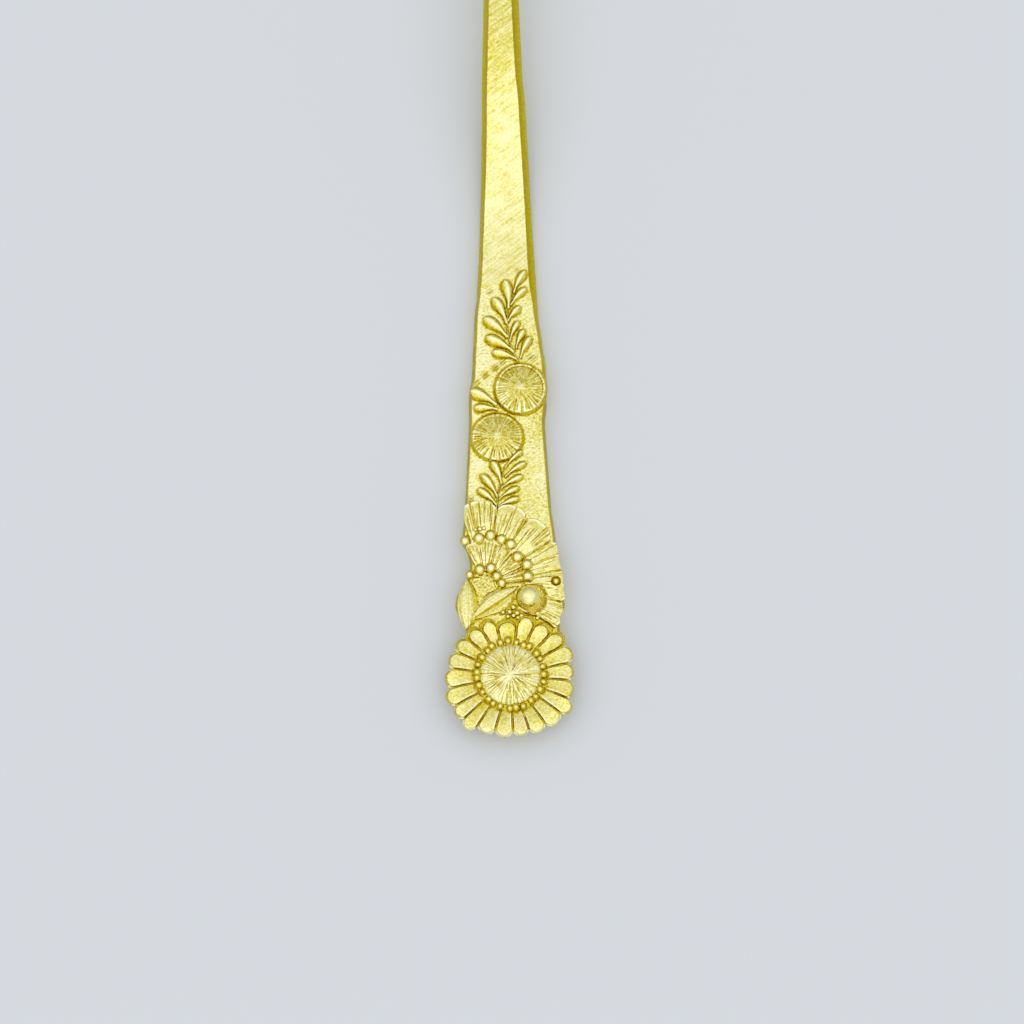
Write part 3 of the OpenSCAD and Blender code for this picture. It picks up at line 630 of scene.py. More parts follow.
# Hatched patches of the ground: place across and along, radius, and strength
HATCHED = ((3.2, 40.2, 1.1, 1), (-0.5, 39.7, 0.9, 0.8), (-1.9, 48.9, 0.9, 0.7), (1.5, 51.8, 0.8, 0.5),
           (-3.8, 37.2, 1.0, 0.8), (-1.3, 39, 1.0, 1), (-2.6, 38.1, 1.0, 1), (-4.7, 22.2, 1.0, 1),
           (2.6, 21.2, 1.5, 0.5))


def filed(pairs, s):
    return spline(pairs, s / MM) * MM


def half_width(s):
    """Half of the blank's width at a distance along it, without its notch."""
    bar, head = sizes("bar"), sizes("head")
    neck_s = TIP_S - head.head_length
    root_s = TIP_S - head.tine_length
    if s < bar.waist_s:
        disc = chord(bar.end_radius, s)
        return disc if s < 0 else max(disc, bar.waist_width / 2)
    if s < bar.shoulder_s:
        return mix(bar.waist_width, bar.shoulder_width, smooth(share(bar.waist_s, bar.shoulder_s, s))) / 2
    if s < bar.taper_s:
        t = share(bar.taper_s, bar.shoulder_s, s)
        return mix(bar.bar_width, bar.shoulder_width, (t + t * t) / 2) / 2
    if s < neck_s:
        return mix(bar.neck_width, bar.bar_width, share(neck_s, bar.taper_s, s) ** bar.taper_power) / 2
    if s < root_s:
        return mix(bar.neck_width, head.head_width, smooth(share(neck_s, root_s, s))) / 2
    return mix(head.head_width, head.tip_span, clamp(share(root_s, TIP_S - head.tip_width / 2, s))) / 2


# Levels of the blank's side: 0 lowest, 1 widest, 2 edge of the face, 3 face
FACE_LEVEL = 3


class Blank:
    """Outline, section and face of the blank, at places along and across it."""

    # Columns of each strip
    columns = 24
    # Rows along the flat bar, the arch, the palm and the tines, and round the end, the slots and the tips
    bar_rows, arch_rows, palm_rows, tine_rows = 380, 110, 40, 40
    end_rows, slot_rows, tip_rows = 12, 6, 8
    # Share of the thickness below the widest level of the sides
    upright_share = 0.35
    # Width of the broken edge along the face
    edge = 0.08 * MM
    # Long and short waves of the filed sides
    long_wave, short_wave = 7 * MM, 2.2 * MM
    # Wandering, wave and slant of the seam between the cast ground and the brushed bar, and half of its width
    seam_wander, seam_wave, seam_slant, seam_half = 0.5 * MM, 2 * MM, 0.2, 0.15 * MM
    # Dark tone round the ornaments and how far it reaches: a dark line, partly patina where they meet the face and
    # partly painted shade, and a soft painted shade
    outlines = ((0.8, 0.26 * MM), (0.1, 0.7 * MM))

    def __init__(self):
        self.bar, self.head = sizes("bar"), sizes("head")
        self.neck_s = TIP_S - self.head.head_length
        self.root_s = TIP_S - self.head.tine_length
        self.belly_s = self.root_s + self.head.belly_past_root
        self.tip_radius = self.head.tip_width / 2
        self.tip_from = TIP_S - self.tip_radius
        self.slot_radius = self.head.slot_width / 2
        self.apex_s = self.root_s - self.slot_radius
        self.places = self.list_places()

    def list_places(self):
        """Places along the fork where the mesh has a row of points."""
        bar = self.bar
        quarter = math.pi / 2
        places = [-bar.end_radius * math.cos(quarter * k / self.end_rows) for k in range(self.end_rows)]
        for start, end, steps in ((0, bar.flat_end_s, self.bar_rows), (bar.flat_end_s, self.neck_s, self.arch_rows),
                                  (self.neck_s, self.apex_s, self.palm_rows)):
            places += [mix(start, end, k / steps) for k in range(steps)]
        places += [self.apex_s + self.slot_radius * (1 - math.cos(quarter * k / self.slot_rows))
                   for k in range(self.slot_rows)]
        places += [mix(self.root_s, self.tip_from, k / self.tine_rows) for k in range(self.tine_rows)]
        places += [mix(self.tip_from, TIP_S, math.sin(quarter * k / self.tip_rows)) for k in range(self.tip_rows)]
        return places + [TIP_S - 0.01 * MM]

    def thickness(self, s):
        bar, head = self.bar, self.head
        if s < self.neck_s:
            return mix(FACE_Z, bar.neck_thickness, smooth(share(bar.flat_end_s, self.neck_s, s)))
        if s < self.root_s:
            return mix(bar.neck_thickness, head.palm_thickness, smooth(share(self.neck_s, self.root_s, s)))
        return mix(head.palm_thickness, head.tip_thickness, share(self.root_s, TIP_S, s))

    def underside(self, s):
        bar = self.bar
        if s < bar.flat_end_s:
            return 0
        if s < self.belly_s:
            turn = 2 * math.pi * share(bar.flat_end_s, self.belly_s, s)
            return bar.arch_height * (1 - math.cos(turn)) / 2
        return self.head.tip_rise * share(self.belly_s, TIP_S, s) ** 2

    def bevel(self, s, side):
        """How far the side leans in, wandering where it is filed by hand."""
        bar, head = self.bar, self.head
        if s > self.neck_s:
            return mix(bar.neck_bevel, head.head_bevel, smooth(share(self.neck_s, self.root_s, s)))
        lean = filed(LEFT_LEAN if side < 0 else RIGHT_LEAN, s)
        wander = noise.noise((s / self.long_wave, 3.7 * side, 0))
        wander += 0.5 * noise.noise((s / self.short_wave, 3.7 * side, 5))
        return lean + bar.file_wobble * wander * smooth(share(bar.shoulder_s, bar.taper_s, s))

    def sides(self, strip, s):
        """Left and right edges of one strip of the blank, and whether each is a free edge."""
        head, last = self.head, self.head.tine_count - 1
        wide = half_width(s)
        tip_step = (head.tip_span - head.tip_width) / last
        if s >= self.tip_from:
            tip = (strip - last / 2) * tip_step
            half = chord(self.tip_radius, s - self.tip_from)
            return tip - half, tip + half, True, True
        left = -wide
        if abs(s - self.bar.notch_s) < self.bar.notch_radius:
            deepest = self.bar.notch_depth - half_width(self.bar.notch_s) - self.bar.notch_radius
            left = max(left, deepest + chord(self.bar.notch_radius, s - self.bar.notch_s))
        edges = [left + filed(LEFT_FILED, s)]
        for slot in range(last):
            middle = (slot - (last - 1) / 2) * (head.head_width + head.slot_width) / head.tine_count
            if s <= self.apex_s:
                middle *= wide / half_width(self.apex_s)
                edges += [middle, middle]
            elif s <= self.root_s:
                half = chord(self.slot_radius, s - self.root_s)
                edges += [middle - half, middle + half]
            else:
                t = share(self.root_s, self.tip_from, s)
                left_tip = (slot - last / 2) * tip_step + self.tip_radius
                edges += [mix(middle - self.slot_radius, left_tip, t),
                          mix(middle + self.slot_radius, left_tip + tip_step - head.tip_width, t)]
        edges.append(wide + filed(RIGHT_FILED, s))
        free = s > self.apex_s
        return edges[2 * strip], edges[2 * strip + 1], free or strip == 0, free or strip == last

    def point(self, strip, u, s, level):
        """Point of one strip of the blank, at a share of its width and at a level of its side."""
        thick = self.thickness(s)
        lean = (self.bevel(s, -1), self.bevel(s, 1))
        chamfer = self.bar.lower_chamfer
        inset = [(chamfer, 0, lean[k] - self.edge * 0.4, lean[k] + self.edge)[level] for k in (0, 1)]
        height = (0, self.upright_share * thick, thick - self.edge, thick)[level]
        left, right, left_free, right_free = self.sides(strip, s)
        place = s
        if s < 0:
            shrink = 1 - inset[0] / self.bar.end_radius
            place, left, right = s * shrink, left * shrink, right * shrink
        elif s >= self.tip_from:
            shrink = 1 - min(inset[0], 0.8 * self.tip_radius) / self.tip_radius
            middle = (left + right) / 2
            place = mix(self.tip_from, s, shrink)
            left, right = mix(middle, left, shrink), mix(middle, right, shrink)
        else:
            fade = smooth(share(self.apex_s, self.root_s, s)) if s > self.apex_s else 0
            left += inset[0] * (1 if strip == 0 else fade) * left_free
            right -= inset[1] * (1 if strip == self.head.tine_count - 1 else fade) * right_free
        x = mix(left, right, u)
        dish = self.head.head_dish * smooth(share(self.neck_s, self.root_s, s)) * (x / max(half_width(s), MM)) ** 2
        if level == FACE_LEVEL:
            height += self.face_waves(x, s)
        return Vector((x, DAISY_Y + place, self.underside(s) + height + dish))

    def seam(self, x):
        """Place of the wandering line where the cast ground of the ornament meets the brushed bar."""
        wander = self.seam_wander * noise.noise((x / self.seam_wave, 0, 9))
        return self.bar.cast_end_s + wander - self.seam_slant * (x + 2 * MM)

    def cast(self, x, s):
        """1 on the cast ground and 0 on the brushed bar."""
        return smooth(share(self.seam(x) + self.seam_half, self.seam(x) - self.seam_half, s))

    def hatch(self, x, s):
        """1 in the middle of a hatched patch, falling to 0 at its edge."""
        return max(strength * (1 - smooth(math.hypot(x / MM - at_x, s / MM - at_s) / reach))
                   for at_x, at_s, reach, strength in HATCHED)

    def face_waves(self, x, s):
        """Low waves left by the hammer and the brush, and the sunk ground of the ornament."""
        ground = self.cast(x, s)
        waves = noise.noise((x / (4 * MM), s / (6 * MM), 0)) * self.bar.hammer_depth * (1 - ground)
        return min(0, waves) - ground * self.bar.cast_step

    def face_tone(self, x, s, gap, ground, hatched):
        """Tone of the handle's face, at a gap from the nearest ornament: painted shade round the ornaments, darker
        beside the daisy, hatched patches, a dark seam line and mottled patina on the cast ground.
        """
        outline = sum(tone * (1 - smooth(gap / reach)) for tone, reach in self.outlines)
        beside_daisy = 0.28 * smooth(share(9 * MM, 7.5 * MM, s))
        seam_line = smooth(share(-1 * MM, -2.2 * MM, x)) * (1 - smooth(abs(s - self.seam(x)) / (0.2 * MM)))
        blotches = 1 + noise.noise((x / (3 * MM), s / (4 * MM), 2))
        mottled = 0.23 * blotches * smooth(share(-2 * MM, 4 * MM, x))
        return max(outline, beside_daisy, 0.4 * hatched, 0.7 * seam_line, mottled * ground)


# Painted shade on the widest level of the blank's side, and on the level that draws a dark line along the face
SIDE_SHADES = {1: 0.46, 2: 0.88}
# How far the filed sides are left without brush strokes
SIDE_PLAIN = 0.75
# Painted shade on the face above the arch, and where it starts and is full
NECK_SHADE, NECK_FROM, NECK_TO = 0.2, 68 * MM, 78 * MM


def make_blank():
    shape = Blank()
    bm = new_mesh()
    strip_of = bm.verts.layers.int.new("strip")
    layers = bm.verts.layers.float
    across, along, cast, hatch, side = (layers.new(name) for name in ("across", "along", "cast", "hatch", "side"))
    patina_and_painted_light = layers["patina_and_painted_light"]
    rows = len(shape.places) - 1
    for strip in range(shape.head.tine_count):
        for vert in bmesh.ops.create_grid(bm, x_segments=shape.columns, y_segments=rows, size=0.5)["verts"]:
            vert[strip_of] = strip
            vert[across] = vert.co.x + 0.5
            vert[along] = shape.places[round((vert.co.y + 0.5) * rows)]
            vert.co = shape.point(strip, vert[across], vert[along], 0)
    bmesh.ops.remove_doubles(bm, verts=bm.verts, dist=MERGE)
    near = ornament_tree()
    skin = bm.faces[:]
    for level in range(1, FACE_LEVEL + 1):
        grown = bmesh.ops.extrude_face_region(bm, geom=skin)["geom"]
        # The first skin is the underside, and those between it and the face are not needed
        if level > 1:
            bmesh.ops.delete(bm, geom=skin, context="FACES_KEEP_BOUNDARY")
        skin = of_kind(grown, bmesh.types.BMFace)
        for vert in of_kind(grown, bmesh.types.BMVert):
            vert.co = shape.point(vert[strip_of], vert[across], vert[along], level)
            vert[side] = SIDE_PLAIN if level < FACE_LEVEL else 0
            if level < FACE_LEVEL:
                vert[patina_and_painted_light] = SIDE_SHADES[level]
            elif vert[along] < shape.bar.flat_end_s:
                x, s = vert.co.x, vert[along]
                vert[cast], vert[hatch] = shape.cast(x, s), shape.hatch(x, s)
                gap = near.find((x, vert.co.y, 0))[2]
                vert[patina_and_painted_light] = shape.face_tone(x, s, gap, vert[cast], vert[hatch])
            else:
                vert[patina_and_painted_light] = NECK_SHADE * smooth(share(NECK_FROM, NECK_TO, vert[along]))
    bmesh.ops.recalc_face_normals(bm, faces=bm.faces)
    make_piece(bm, "fork_blank", "brushed_bar", sharp=32, slopes=0.5)


def ornament_tree():
    """Points of the ornaments in plan, to find how near the handle's face lies to one."""
    points = [v.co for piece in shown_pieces() if piece.name.startswith("finished_") for v in piece.data.vertices]
    tree = kdtree.KDTree(len(points))
    for number, point in enumerate(points):
        tree.insert((point.x, point.y, 0), number)
    tree.balance()
    return tree


class FORK_OT_blank(bpy.types.Operator):
    """Forged blank: round end, tapered bar, arched neck, palm and tines"""
    bl_idname = "fork.blank"
    bl_label = "Fork Blank"

    def execute(self, context):
        make_blank()
        return {"FINISHED"}


# Daisy

# Directions of the grooves between the petals, in degrees; the last closes the round
GROOVES = (10.5, 28, 44.5, 63, 81.5, 105, 122, 139.5, 156.5, 173.5, 192, 209, 223, 236.5, 254, 272, 288, 304.5, 321.5,
           336.5, 353.5, 370.5)
# Grooves that were cut twice, with a raised line between the two cuts
TWICE_CUT = (12, 13, 16, 19)
# Reach of each petal, as a share of the daisy's radius
REACHES = (1.045, 1.055, 1, 1, 0.89, 0.97, 0.98, 0.99, 1, 1.03, 1.075, 1.07, 1.11, 1.005, 0.987, 0.98, 1.02, 1.07,
           1.11, 1.025, 1)
# Bounds of each petal's lean, dip and painted shade on its low side
PETAL_BOUNDS = ((-0.13, 0.13), (-0.2, 0.05), (0.2, 0.5))
# Height and patina of an upper petal from its flat, at 0, to its border, at 1, with a sunk band between
BAND_LIFT = ((0, 1), (0.1, 0.97), (0.3, 0.3), (0.6, 0.25), (1, 0))
BAND_TONE = ((0, 0), (0.08, 0), (0.26, 0.9), (0.42, 0.5), (0.85, 0.55), (1, 0.9))
# Ledge under the beads: width as a share of a bead, share of the wheel's rows, and patina
LEDGE_WIDTH, LEDGE_ROWS, LEDGE_TONE = 0.62, 0.14, 0.65
# Floor of the grooves, as a share of the petals' height
GROOVE_FLOOR = 0.4
# Scallops of the rounded ends, inside the rim of the lower and of the upper petals
END_SCALLOPS = (1.3 * MM, 1.7 * MM)
# Raised line in a twice-cut groove: half of its width, and its height as a share of the petals' height
BURR_WIDTH, BURR_HEIGHT = 0.08 * MM, 0.15


def petal_rim(petal, f, scallop):
    """Distance from the daisy's centre to a petal's rim, for f from -1 to 1 across the petal."""
    daisy = sizes("daisy")
    beside = REACHES[(petal + (1 if f > 0 else -1)) % len(REACHES)]
    valley = daisy.radius * (REACHES[petal] + beside) / 2 - scallop
    return mix(valley, daisy.radius * REACHES[petal], math.sqrt(max(0, 1 - f * f)))


def make_petal_wheel():
    daisy = sizes("daisy")
    number = len(REACHES)
    bore = plan_radius("daisy_dome") + SEAM
    ledge_end = bore + LEDGE_WIDTH * daisy.bead_diameter
    floor = GROOVE_FLOOR * daisy.petal_height
    draw = random.Random(4)
    lean, dip, low_side_shade = ([draw.uniform(low, high) for _ in range(number)] for low, high in PETAL_BOUNDS)

    def surface(u, v):
        petal = min(number - 1, int(u * number))
        # The columns gather at the grooves
        f = 2 * (u * number - petal) - 1
        f *= 1.5 - 0.5 * f * f
        start, stop = GROOVES[petal], GROOVES[petal + 1]
        direction = math.radians(mix(start, stop, (f + 1) / 2))
        if v < LEDGE_ROWS:
            return polar(mix(bore, ledge_end, v / LEDGE_ROWS), direction), daisy.ledge_height, LEDGE_TONE
        t = share(LEDGE_ROWS, 1, v)
        t = mix(t, (1 - math.cos(math.pi * t)) / 2, 0.6)
        r = mix(ledge_end, petal_rim(petal, f, daisy.petal_scallop), t)
        gap = r * math.sin((1 - abs(f)) * math.radians(stop - start) / 2)
        upper = smooth(share(0.45, 0.65, math.sin(math.radians(start + stop) / 2)))
        lower = smooth(share(-0.55, -0.9, math.sin(direction)))
        # How far the point lies on the petal's sides, its end and its root: 0 on the flat, 1 at the border
        side = 1 - clamp((gap - daisy.groove) / daisy.petal_edge)
        round_rim = petal_rim(petal, f, mix(*END_SCALLOPS, upper))
        end = 1 - clamp((round_rim - r) / mix(daisy.petal_end, daisy.petal_band, upper))
        root = 1 - clamp((r - ledge_end) / daisy.petal_edge)
        edge = min(1, math.hypot(side, end))
        lift = mix(1 - edge ** 2.4, spline(BAND_LIFT, edge), upper)
        rise = mix(daisy.ledge_height / daisy.petal_height, 1, math.sin(math.pi / 2 * min(1, t / 0.8)))
        crown = daisy.petal_height * (rise + lean[petal] * f * t + dip[petal] * t * t)
        groove = (petal + (1 if f > 0 else 0)) % number
        burr = (1 - smooth(gap / BURR_WIDTH)) * (groove in TWICE_CUT)
        height = mix(min(floor, crown), crown, lift) + BURR_HEIGHT * daisy.petal_height * burr
        # Patina lies along the borders; painted shade darkens each petal towards its low side, and a little near the
        # grooves
        plain = max(0.8 * smooth(1.6 * side - 0.5), 0.4 * smooth(root), 0.5 * smooth(end))
        painted_shading = max(0.12 * smooth(share(0.75 * MM, 0.2 * MM, gap)),
                     low_side_shade[petal] * mix(1.3, 0.5, t) * smooth(0.7 + lean[petal] * 4 * f))
        tone = max(painted_shading, mix(plain, spline(BAND_TONE, edge), upper)) * (1 - 0.8 * burr)
        # Painted highlights on the ends of the lower petals, which face the front, and along the sides that face away
        # from the shaded side
        outward = polar(math.copysign(1, f), direction + math.pi / 2)
        lit = smooth(0.5 - 0.8 * outward.dot(SHADED_SIDE)) * smooth(share(0, 0.3, t)) * (1 - upper)
        line = smooth(share(-0.5 * MM, 0, -gap)) * (1 - smooth(share(0.3, 0.5, side)))
        if lower * end > 0.1 and side < 0.5:
            tone = -0.4
        elif lit * line > 0.2:
            tone = -0.7 * lit * line
        return polar(r, direction), height, tone

    make_relief("daisy_wheel", surface, columns=number * 26, rows=40, slopes=0.75)


# Bounds of what differs between the daisy's beads: turn as a share of a step, place across the ring in millimetres,
# size, and how far a bead sinks in millimetres
BEAD_BOUNDS = ((-0.16, 0.16), (-0.1, 0.12), (0.84, 1.08), (0, 0.12))


def make_ring_beads():
    daisy = sizes("daisy")
    ring = plan_radius("daisy_dome") + daisy.bead_diameter / 2 - SEAM
    draw = random.Random(11)
    bm = new_mesh()
    for k in range(daisy.bead_count):
        turn, off, size, sunk = (draw.uniform(low, high) for low, high in BEAD_BOUNDS)
        at = polar(ring + off * MM, (k + turn) * 2 * math.pi / daisy.bead_count)
        # The beads are painted dark as shade, with a faint painted highlight on their crowns
        add_bead(bm, at, daisy.bead_diameter * size, daisy.ledge_height - sunk * MM, tone=0.6, shine=-0.1)
    make_piece(bm, "daisy_beads", "polished_beads", slopes=0.4)


def make_dome():
    daisy = sizes("daisy")
    radius = plan_radius("daisy_dome") + 0.7 * SEAM
    strokes = Strokes(7, daisy.dome_strokes, late=0.6, early=0.6, slant=2.5)

    def surface(u, v):
        direction = 2 * math.pi * u
        cut = strokes.cut(u, v, width=0.48)
        height = daisy.dome_height * (1 - 0.25 * v ** 2 - 0.15 * v ** 10) - daisy.stroke_depth * cut
        # The strokes carry patina, painted darker on the dome's lower side as shade; between them the dome is a
        # little pale, with a painted highlight beside each stroke, strongest on its upper side
        if cut > 0.12:
            tone = mix(0.5, 0.1, smooth(0.5 + 0.8 * v * math.sin(direction + 0.5))) * cut * smooth(v / 0.25)
        else:
            pale = mix(0.2, 0.75, smooth(0.5 + 0.6 * v * math.sin(direction)))
            tone = -max(0.15, pale * strokes.burr(u, v))
        return polar(v * radius, direction), height, tone

    make_relief("daisy_dome", surface, columns=daisy.dome_strokes * 6, rows=30, slopes=0.08)


class FORK_OT_daisy(bpy.types.Operator):
    """Petal wheel, ring of beads and engraved dome at the handle's end"""
    bl_idname = "fork.daisy"
    bl_label = "Daisy"

    def execute(self, context):
        make_petal_wheel()
        make_ring_beads()
        make_dome()
        return {"FINISHED"}


# Half flower

# Directions of the bounds between the petals, in degrees
INNER_BOUNDS = (3, 24, 48, 73, 118)
OUTER_BOUNDS = (-37, -14, 10, 33, 56.5, 80.2, 108)
# Beads in millimetres: place across and along, diameter, and height of the seat
OUTER_BEADS = ((-5.42, 16.85, 1.3, 0), (-3.68, 17.17, 1.46, 0), (-2.24, 17.5, 1.44, 0), (-0.88, 16.97, 1.4, 0),
               (0.28, 16.33, 1.44, 0.1), (1.08, 14.72, 1.5, 0), (2.24, 13.76, 1.46, 0), (2.3, 12.27, 1.42, 0),
               (-3.55, 18.32, 0.66, 0.3), (-4.1, 18.24, 0.56, 0.3), (-3.02, 18.42, 0.58, 0.3))
INNER_BEADS = ((-4.9, 12.63, 1, 0), (-3.63, 13.22, 1.36, 0), (-2.22, 13.42, 1.34, 0), (-1.53, 12.37, 1.22, 0),
               (-0.9, 11.5, 1.12, 0))
# Share of its room that the pearl's collar fills
COLLAR_SHARE = 0.87
# Rise of a ribbed petal from its root, at 0, to its rim, at 1
FAN_LIFT = ((0, 0.3), (0.35, 0.85), (0.5, 1), (0.8, 1), (1, 0.8))
# Height of a ribbed petal or the core where it dips under a leaf or beside a neighbour
DIPPED = 0.1 * MM


class HalfFlower:
    """Radii and neighbours of the half flower."""

    def __init__(self):
        self.own = own = sizes("half_flower")
        self.centre = Vector((-own.left, own.centre_s))
        self.inner_end = own.core_radius + own.inner_bead + 2 * SEAM + own.inner_fan
        self.outer_end = self.inner_end + own.outer_bead + 2 * SEAM + own.outer_fan
        self.collar = plan_middle("pearl_collar") - self.centre
        self.collar_radius = COLLAR_SHARE * plan_radius("pearl_collar")
        self.edge_bead = plan_middle("edge_bead")
        self.edge_bead_radius = plan_radius("edge_bead")

    def past_collar(self, direction):
        """Distance from the centre at which a line in that direction leaves the pearl's collar."""
        line = polar(1, direction)
        along = line.dot(self.collar)
        off = line.cross(self.collar)
        if along < 0 or abs(off) >= self.collar_radius:
            return 0
        return along + chord(self.collar_radius, off)

    def to_side(self, direction):
        """Distance from the centre to the side of the bar in that direction."""
        reach = self.outer_end
        lean = math.cos(direction)
        if abs(lean) > 0.1:
            for _ in range(8):
                s = self.centre.y + reach * math.sin(direction)
                wide = half_width(s)
                side = wide + filed(RIGHT_FILED, s) + SEAM if lean > 0 else filed(LEFT_FILED, s) - wide
                reach = min(self.outer_end, (side - self.centre.x) / lean)
        return reach


def make_fans(node, inner, outer, scallop, bounds, ribs, notch, seed):
    """One sector of ribbed petals, which dips under the leaves and round the edge bead and the daisy."""
    flower = HalfFlower()
    own = flower.own
    bounds = [math.radians(bound) for bound in bounds]
    strokes = Strokes(seed, ribs, late=0.65, early=0.6, shallow=0.4, slant=0.8)
    daisy_rim = sizes("daisy").radius

    def surface(u, v):
        direction = mix(bounds[0], bounds[-1], u)
        petal = max(k for k in range(len(bounds) - 1) if bounds[k] <= direction)
        f = 2 * share(bounds[petal], bounds[petal + 1], direction) - 1
        rim = outer - scallop * (1 - math.sqrt(max(0, 1 - abs(f) ** 2.4))) - notch * strokes.cut(u, 0.97)
        near = max(inner, flower.past_collar(direction))
        far = min(rim, flower.to_side(direction))
        at = flower.centre + polar(mix(near, max(near, far), v), direction)
        cut = strokes.cut(u, v, width=0.4)
        valley = smooth((abs(f) - 0.9) / 0.1)
        height = own.fan_height * spline(FAN_LIFT, v) * mix(1, 0.85, f * f)
        height -= own.rib_depth * (cut * mix(0.7, 1, v) + 0.9 * valley * mix(0.3, 1, v))
        bead_gap = (at - flower.edge_bead).length - flower.edge_bead_radius
        low = max(under_leaves(at), 0.8 * (1 - smooth(bead_gap / (0.2 * MM))),
                  1 - smooth((at.length - daisy_rim) / (0.3 * MM)))
        height = mix(height, DIPPED, low)
        # Rims and the line beside each stroke get a painted highlight, partly wear; strokes and valleys carry patina,
        # and the petals are darker where they dip and towards the rim
        rim_line = smooth(share(0.93, 0.97, v)) if far == rim else 0
        worn = 0.5 * max(rim_line, strokes.burr(u, v, width=0.4))
        if worn > 0.1 and cut < 0.1 and max(valley, low) < 0.3:
            return at, height, -worn
        return at, height, max(0.65 * cut, 0.65 * valley, 0.6 * low, 0.22 * smooth(share(0.5, 0.9, v)))

    make_relief(node, surface, columns=ribs * 6, rows=44, slopes=0.65)


def make_beads(node, beads, tone=0.12, shine=0.3):
    bm = new_mesh()
    for x, s, diameter, seat in beads:
        add_bead(bm, Vector((x, s)) * MM, diameter * MM, seat * MM, tone, shine)
    make_piece(bm, node, "polished_beads", slopes=0.8)


def make_core():
    flower = HalfFlower()
    own = flower.own
    grain_size = 0.26 * MM

    def surface(u, v):
        at = flower.centre + polar(v * own.core_radius, 2 * math.pi * u)
        pits = noise.noise((at.x / grain_size, at.y / grain_size, 0))
        height = own.core_height * (mix(1, 0.5, v * v) + 0.28 * pits)
        cover = under_leaves(at)
        return at, mix(height, DIPPED, cover), max(0.6 * cover, clamp(0.25 - 0.8 * pits))

    make_relief("half_flower_core", surface, columns=96, rows=30)


def make_single_bead(node, tone, slopes, ring_top):
    bm = new_mesh()
    add_bead(bm, plan_middle(node), 2 * plan_radius(node), tone=tone, ring_top=ring_top)
    make_piece(bm, node, "polished_beads", slopes=slopes)


class FORK_OT_half_flower(bpy.types.Operator):
    """Two sectors of ribbed petals, two rows of beads, the grained core and the bead at the edge"""
    bl_idname = "fork.half_flower"
    bl_label = "Half Flower"

    def execute(self, context):
        flower = HalfFlower()
        own = flower.own
        make_fans("outer_fans", inner=flower.inner_end + SEAM, outer=flower.outer_end, scallop=own.outer_scallop,
                  bounds=OUTER_BOUNDS, ribs=own.outer_ribs, notch=own.rim_notch, seed=21)
        make_fans("inner_fans", inner=own.core_radius + SEAM, outer=flower.inner_end + 0.5 * MM,
                  scallop=own.inner_scallop, bounds=INNER_BOUNDS, ribs=own.inner_ribs, notch=0, seed=22)
        make_beads("outer_beads", OUTER_BEADS)
        make_beads("inner_beads", INNER_BEADS)
        make_core()
        make_single_bead("edge_bead", tone=0.5, slopes=1, ring_top=0.68)
        return {"FINISHED"}


# Pearl

# Grains in millimetres: place across and along, diameter, and height of the seat
GRAINS = ((0.5, 8.48, 0.72, 0), (0.02, 7.9, 0.7, 0), (0.95, 7.75, 0.7, 0), (-0.8, 7.85, 0.6, 0),
          (0.5, 7.42, 0.62, 0), (1.5, 7.4, 0.62, 0), (-0.2, 7.3, 0.6, 0), (1.05, 7.15, 0.58, 0),
          (3.48, 7.62, 0.72, 0), (4.1, 7.25, 0.66, 0), (3.45, 7.05, 0.56, 0))


def make_collar():
    middle, radius = plan_middle("pearl_collar"), COLLAR_SHARE * plan_radius("pearl_collar")
    low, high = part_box("pearl_collar")
    bore = 0.62 * radius

    def surface(u, v):
        # The collar darkens towards its bore: patina where it meets the pearl, and painted shade under the pearl
        height = (high.z - low.z) * math.sqrt(max(0.04, 1 - abs(2 * v - 1) ** 2.4))
        return middle + polar(mix(bore, radius, v), 2 * math.pi * u), height, mix(1, 0.35, smooth(v / 0.5))

    make_relief("pearl_collar", surface, columns=96, rows=16, slopes=0.9)


class FORK_OT_pearl(bpy.types.Operator):
    """Large polished bead, its collar and the grains beside it"""
    bl_idname = "fork.pearl"
    bl_label = "Pearl"

    def execute(self, context):
        make_single_bead("pearl", tone=0.02, slopes=0.1, ring_top=0.56)
        make_collar()
        make_beads("filler_grains", GRAINS, tone=0.16, shine=0.1)
        return {"FINISHED"}


# Leaves

def leaf_frames():
    """Foot, direction, length and width of the upright and the slanted leaf."""
    own = sizes("leaves")
    return {
        "upright_leaf": (Vector((own.upright_x, own.upright_s)), math.pi / 2, own.upright_length, own.upright_width),
        "slanted_leaf": (Vector((own.slanted_x, own.slanted_s)), own.slanted_angle, own.slanted_length,
                         own.slanted_width),
    }


def leaf_half_width(t, width):
    return width / 2 * max(0.0, math.sin(math.pi * clamp(t))) ** sizes("leaves").fullness


def under_leaves(at):
    """1 where a leaf lies over a plan point, falling to 0 just outside it."""
    margin = 0.16 * MM
    cover = 0
    for foot, direction, long, wide in leaf_frames().values():
        line = polar(1, direction)
        t = line.dot(at - foot) / long
        if 0 < t < 1:
            cover = max(cover, smooth((leaf_half_width(t, wide) + margin - abs(line.cross(at - foot))) / margin))
    return cover


def push_out(at, rounds):
    """Plan point moved straight out of its round neighbours, each a middle and a radius."""
    for middle, radius in rounds:
        away = at - middle
        if away.length < radius:
            at = middle + away.normalized() * radius
    return at


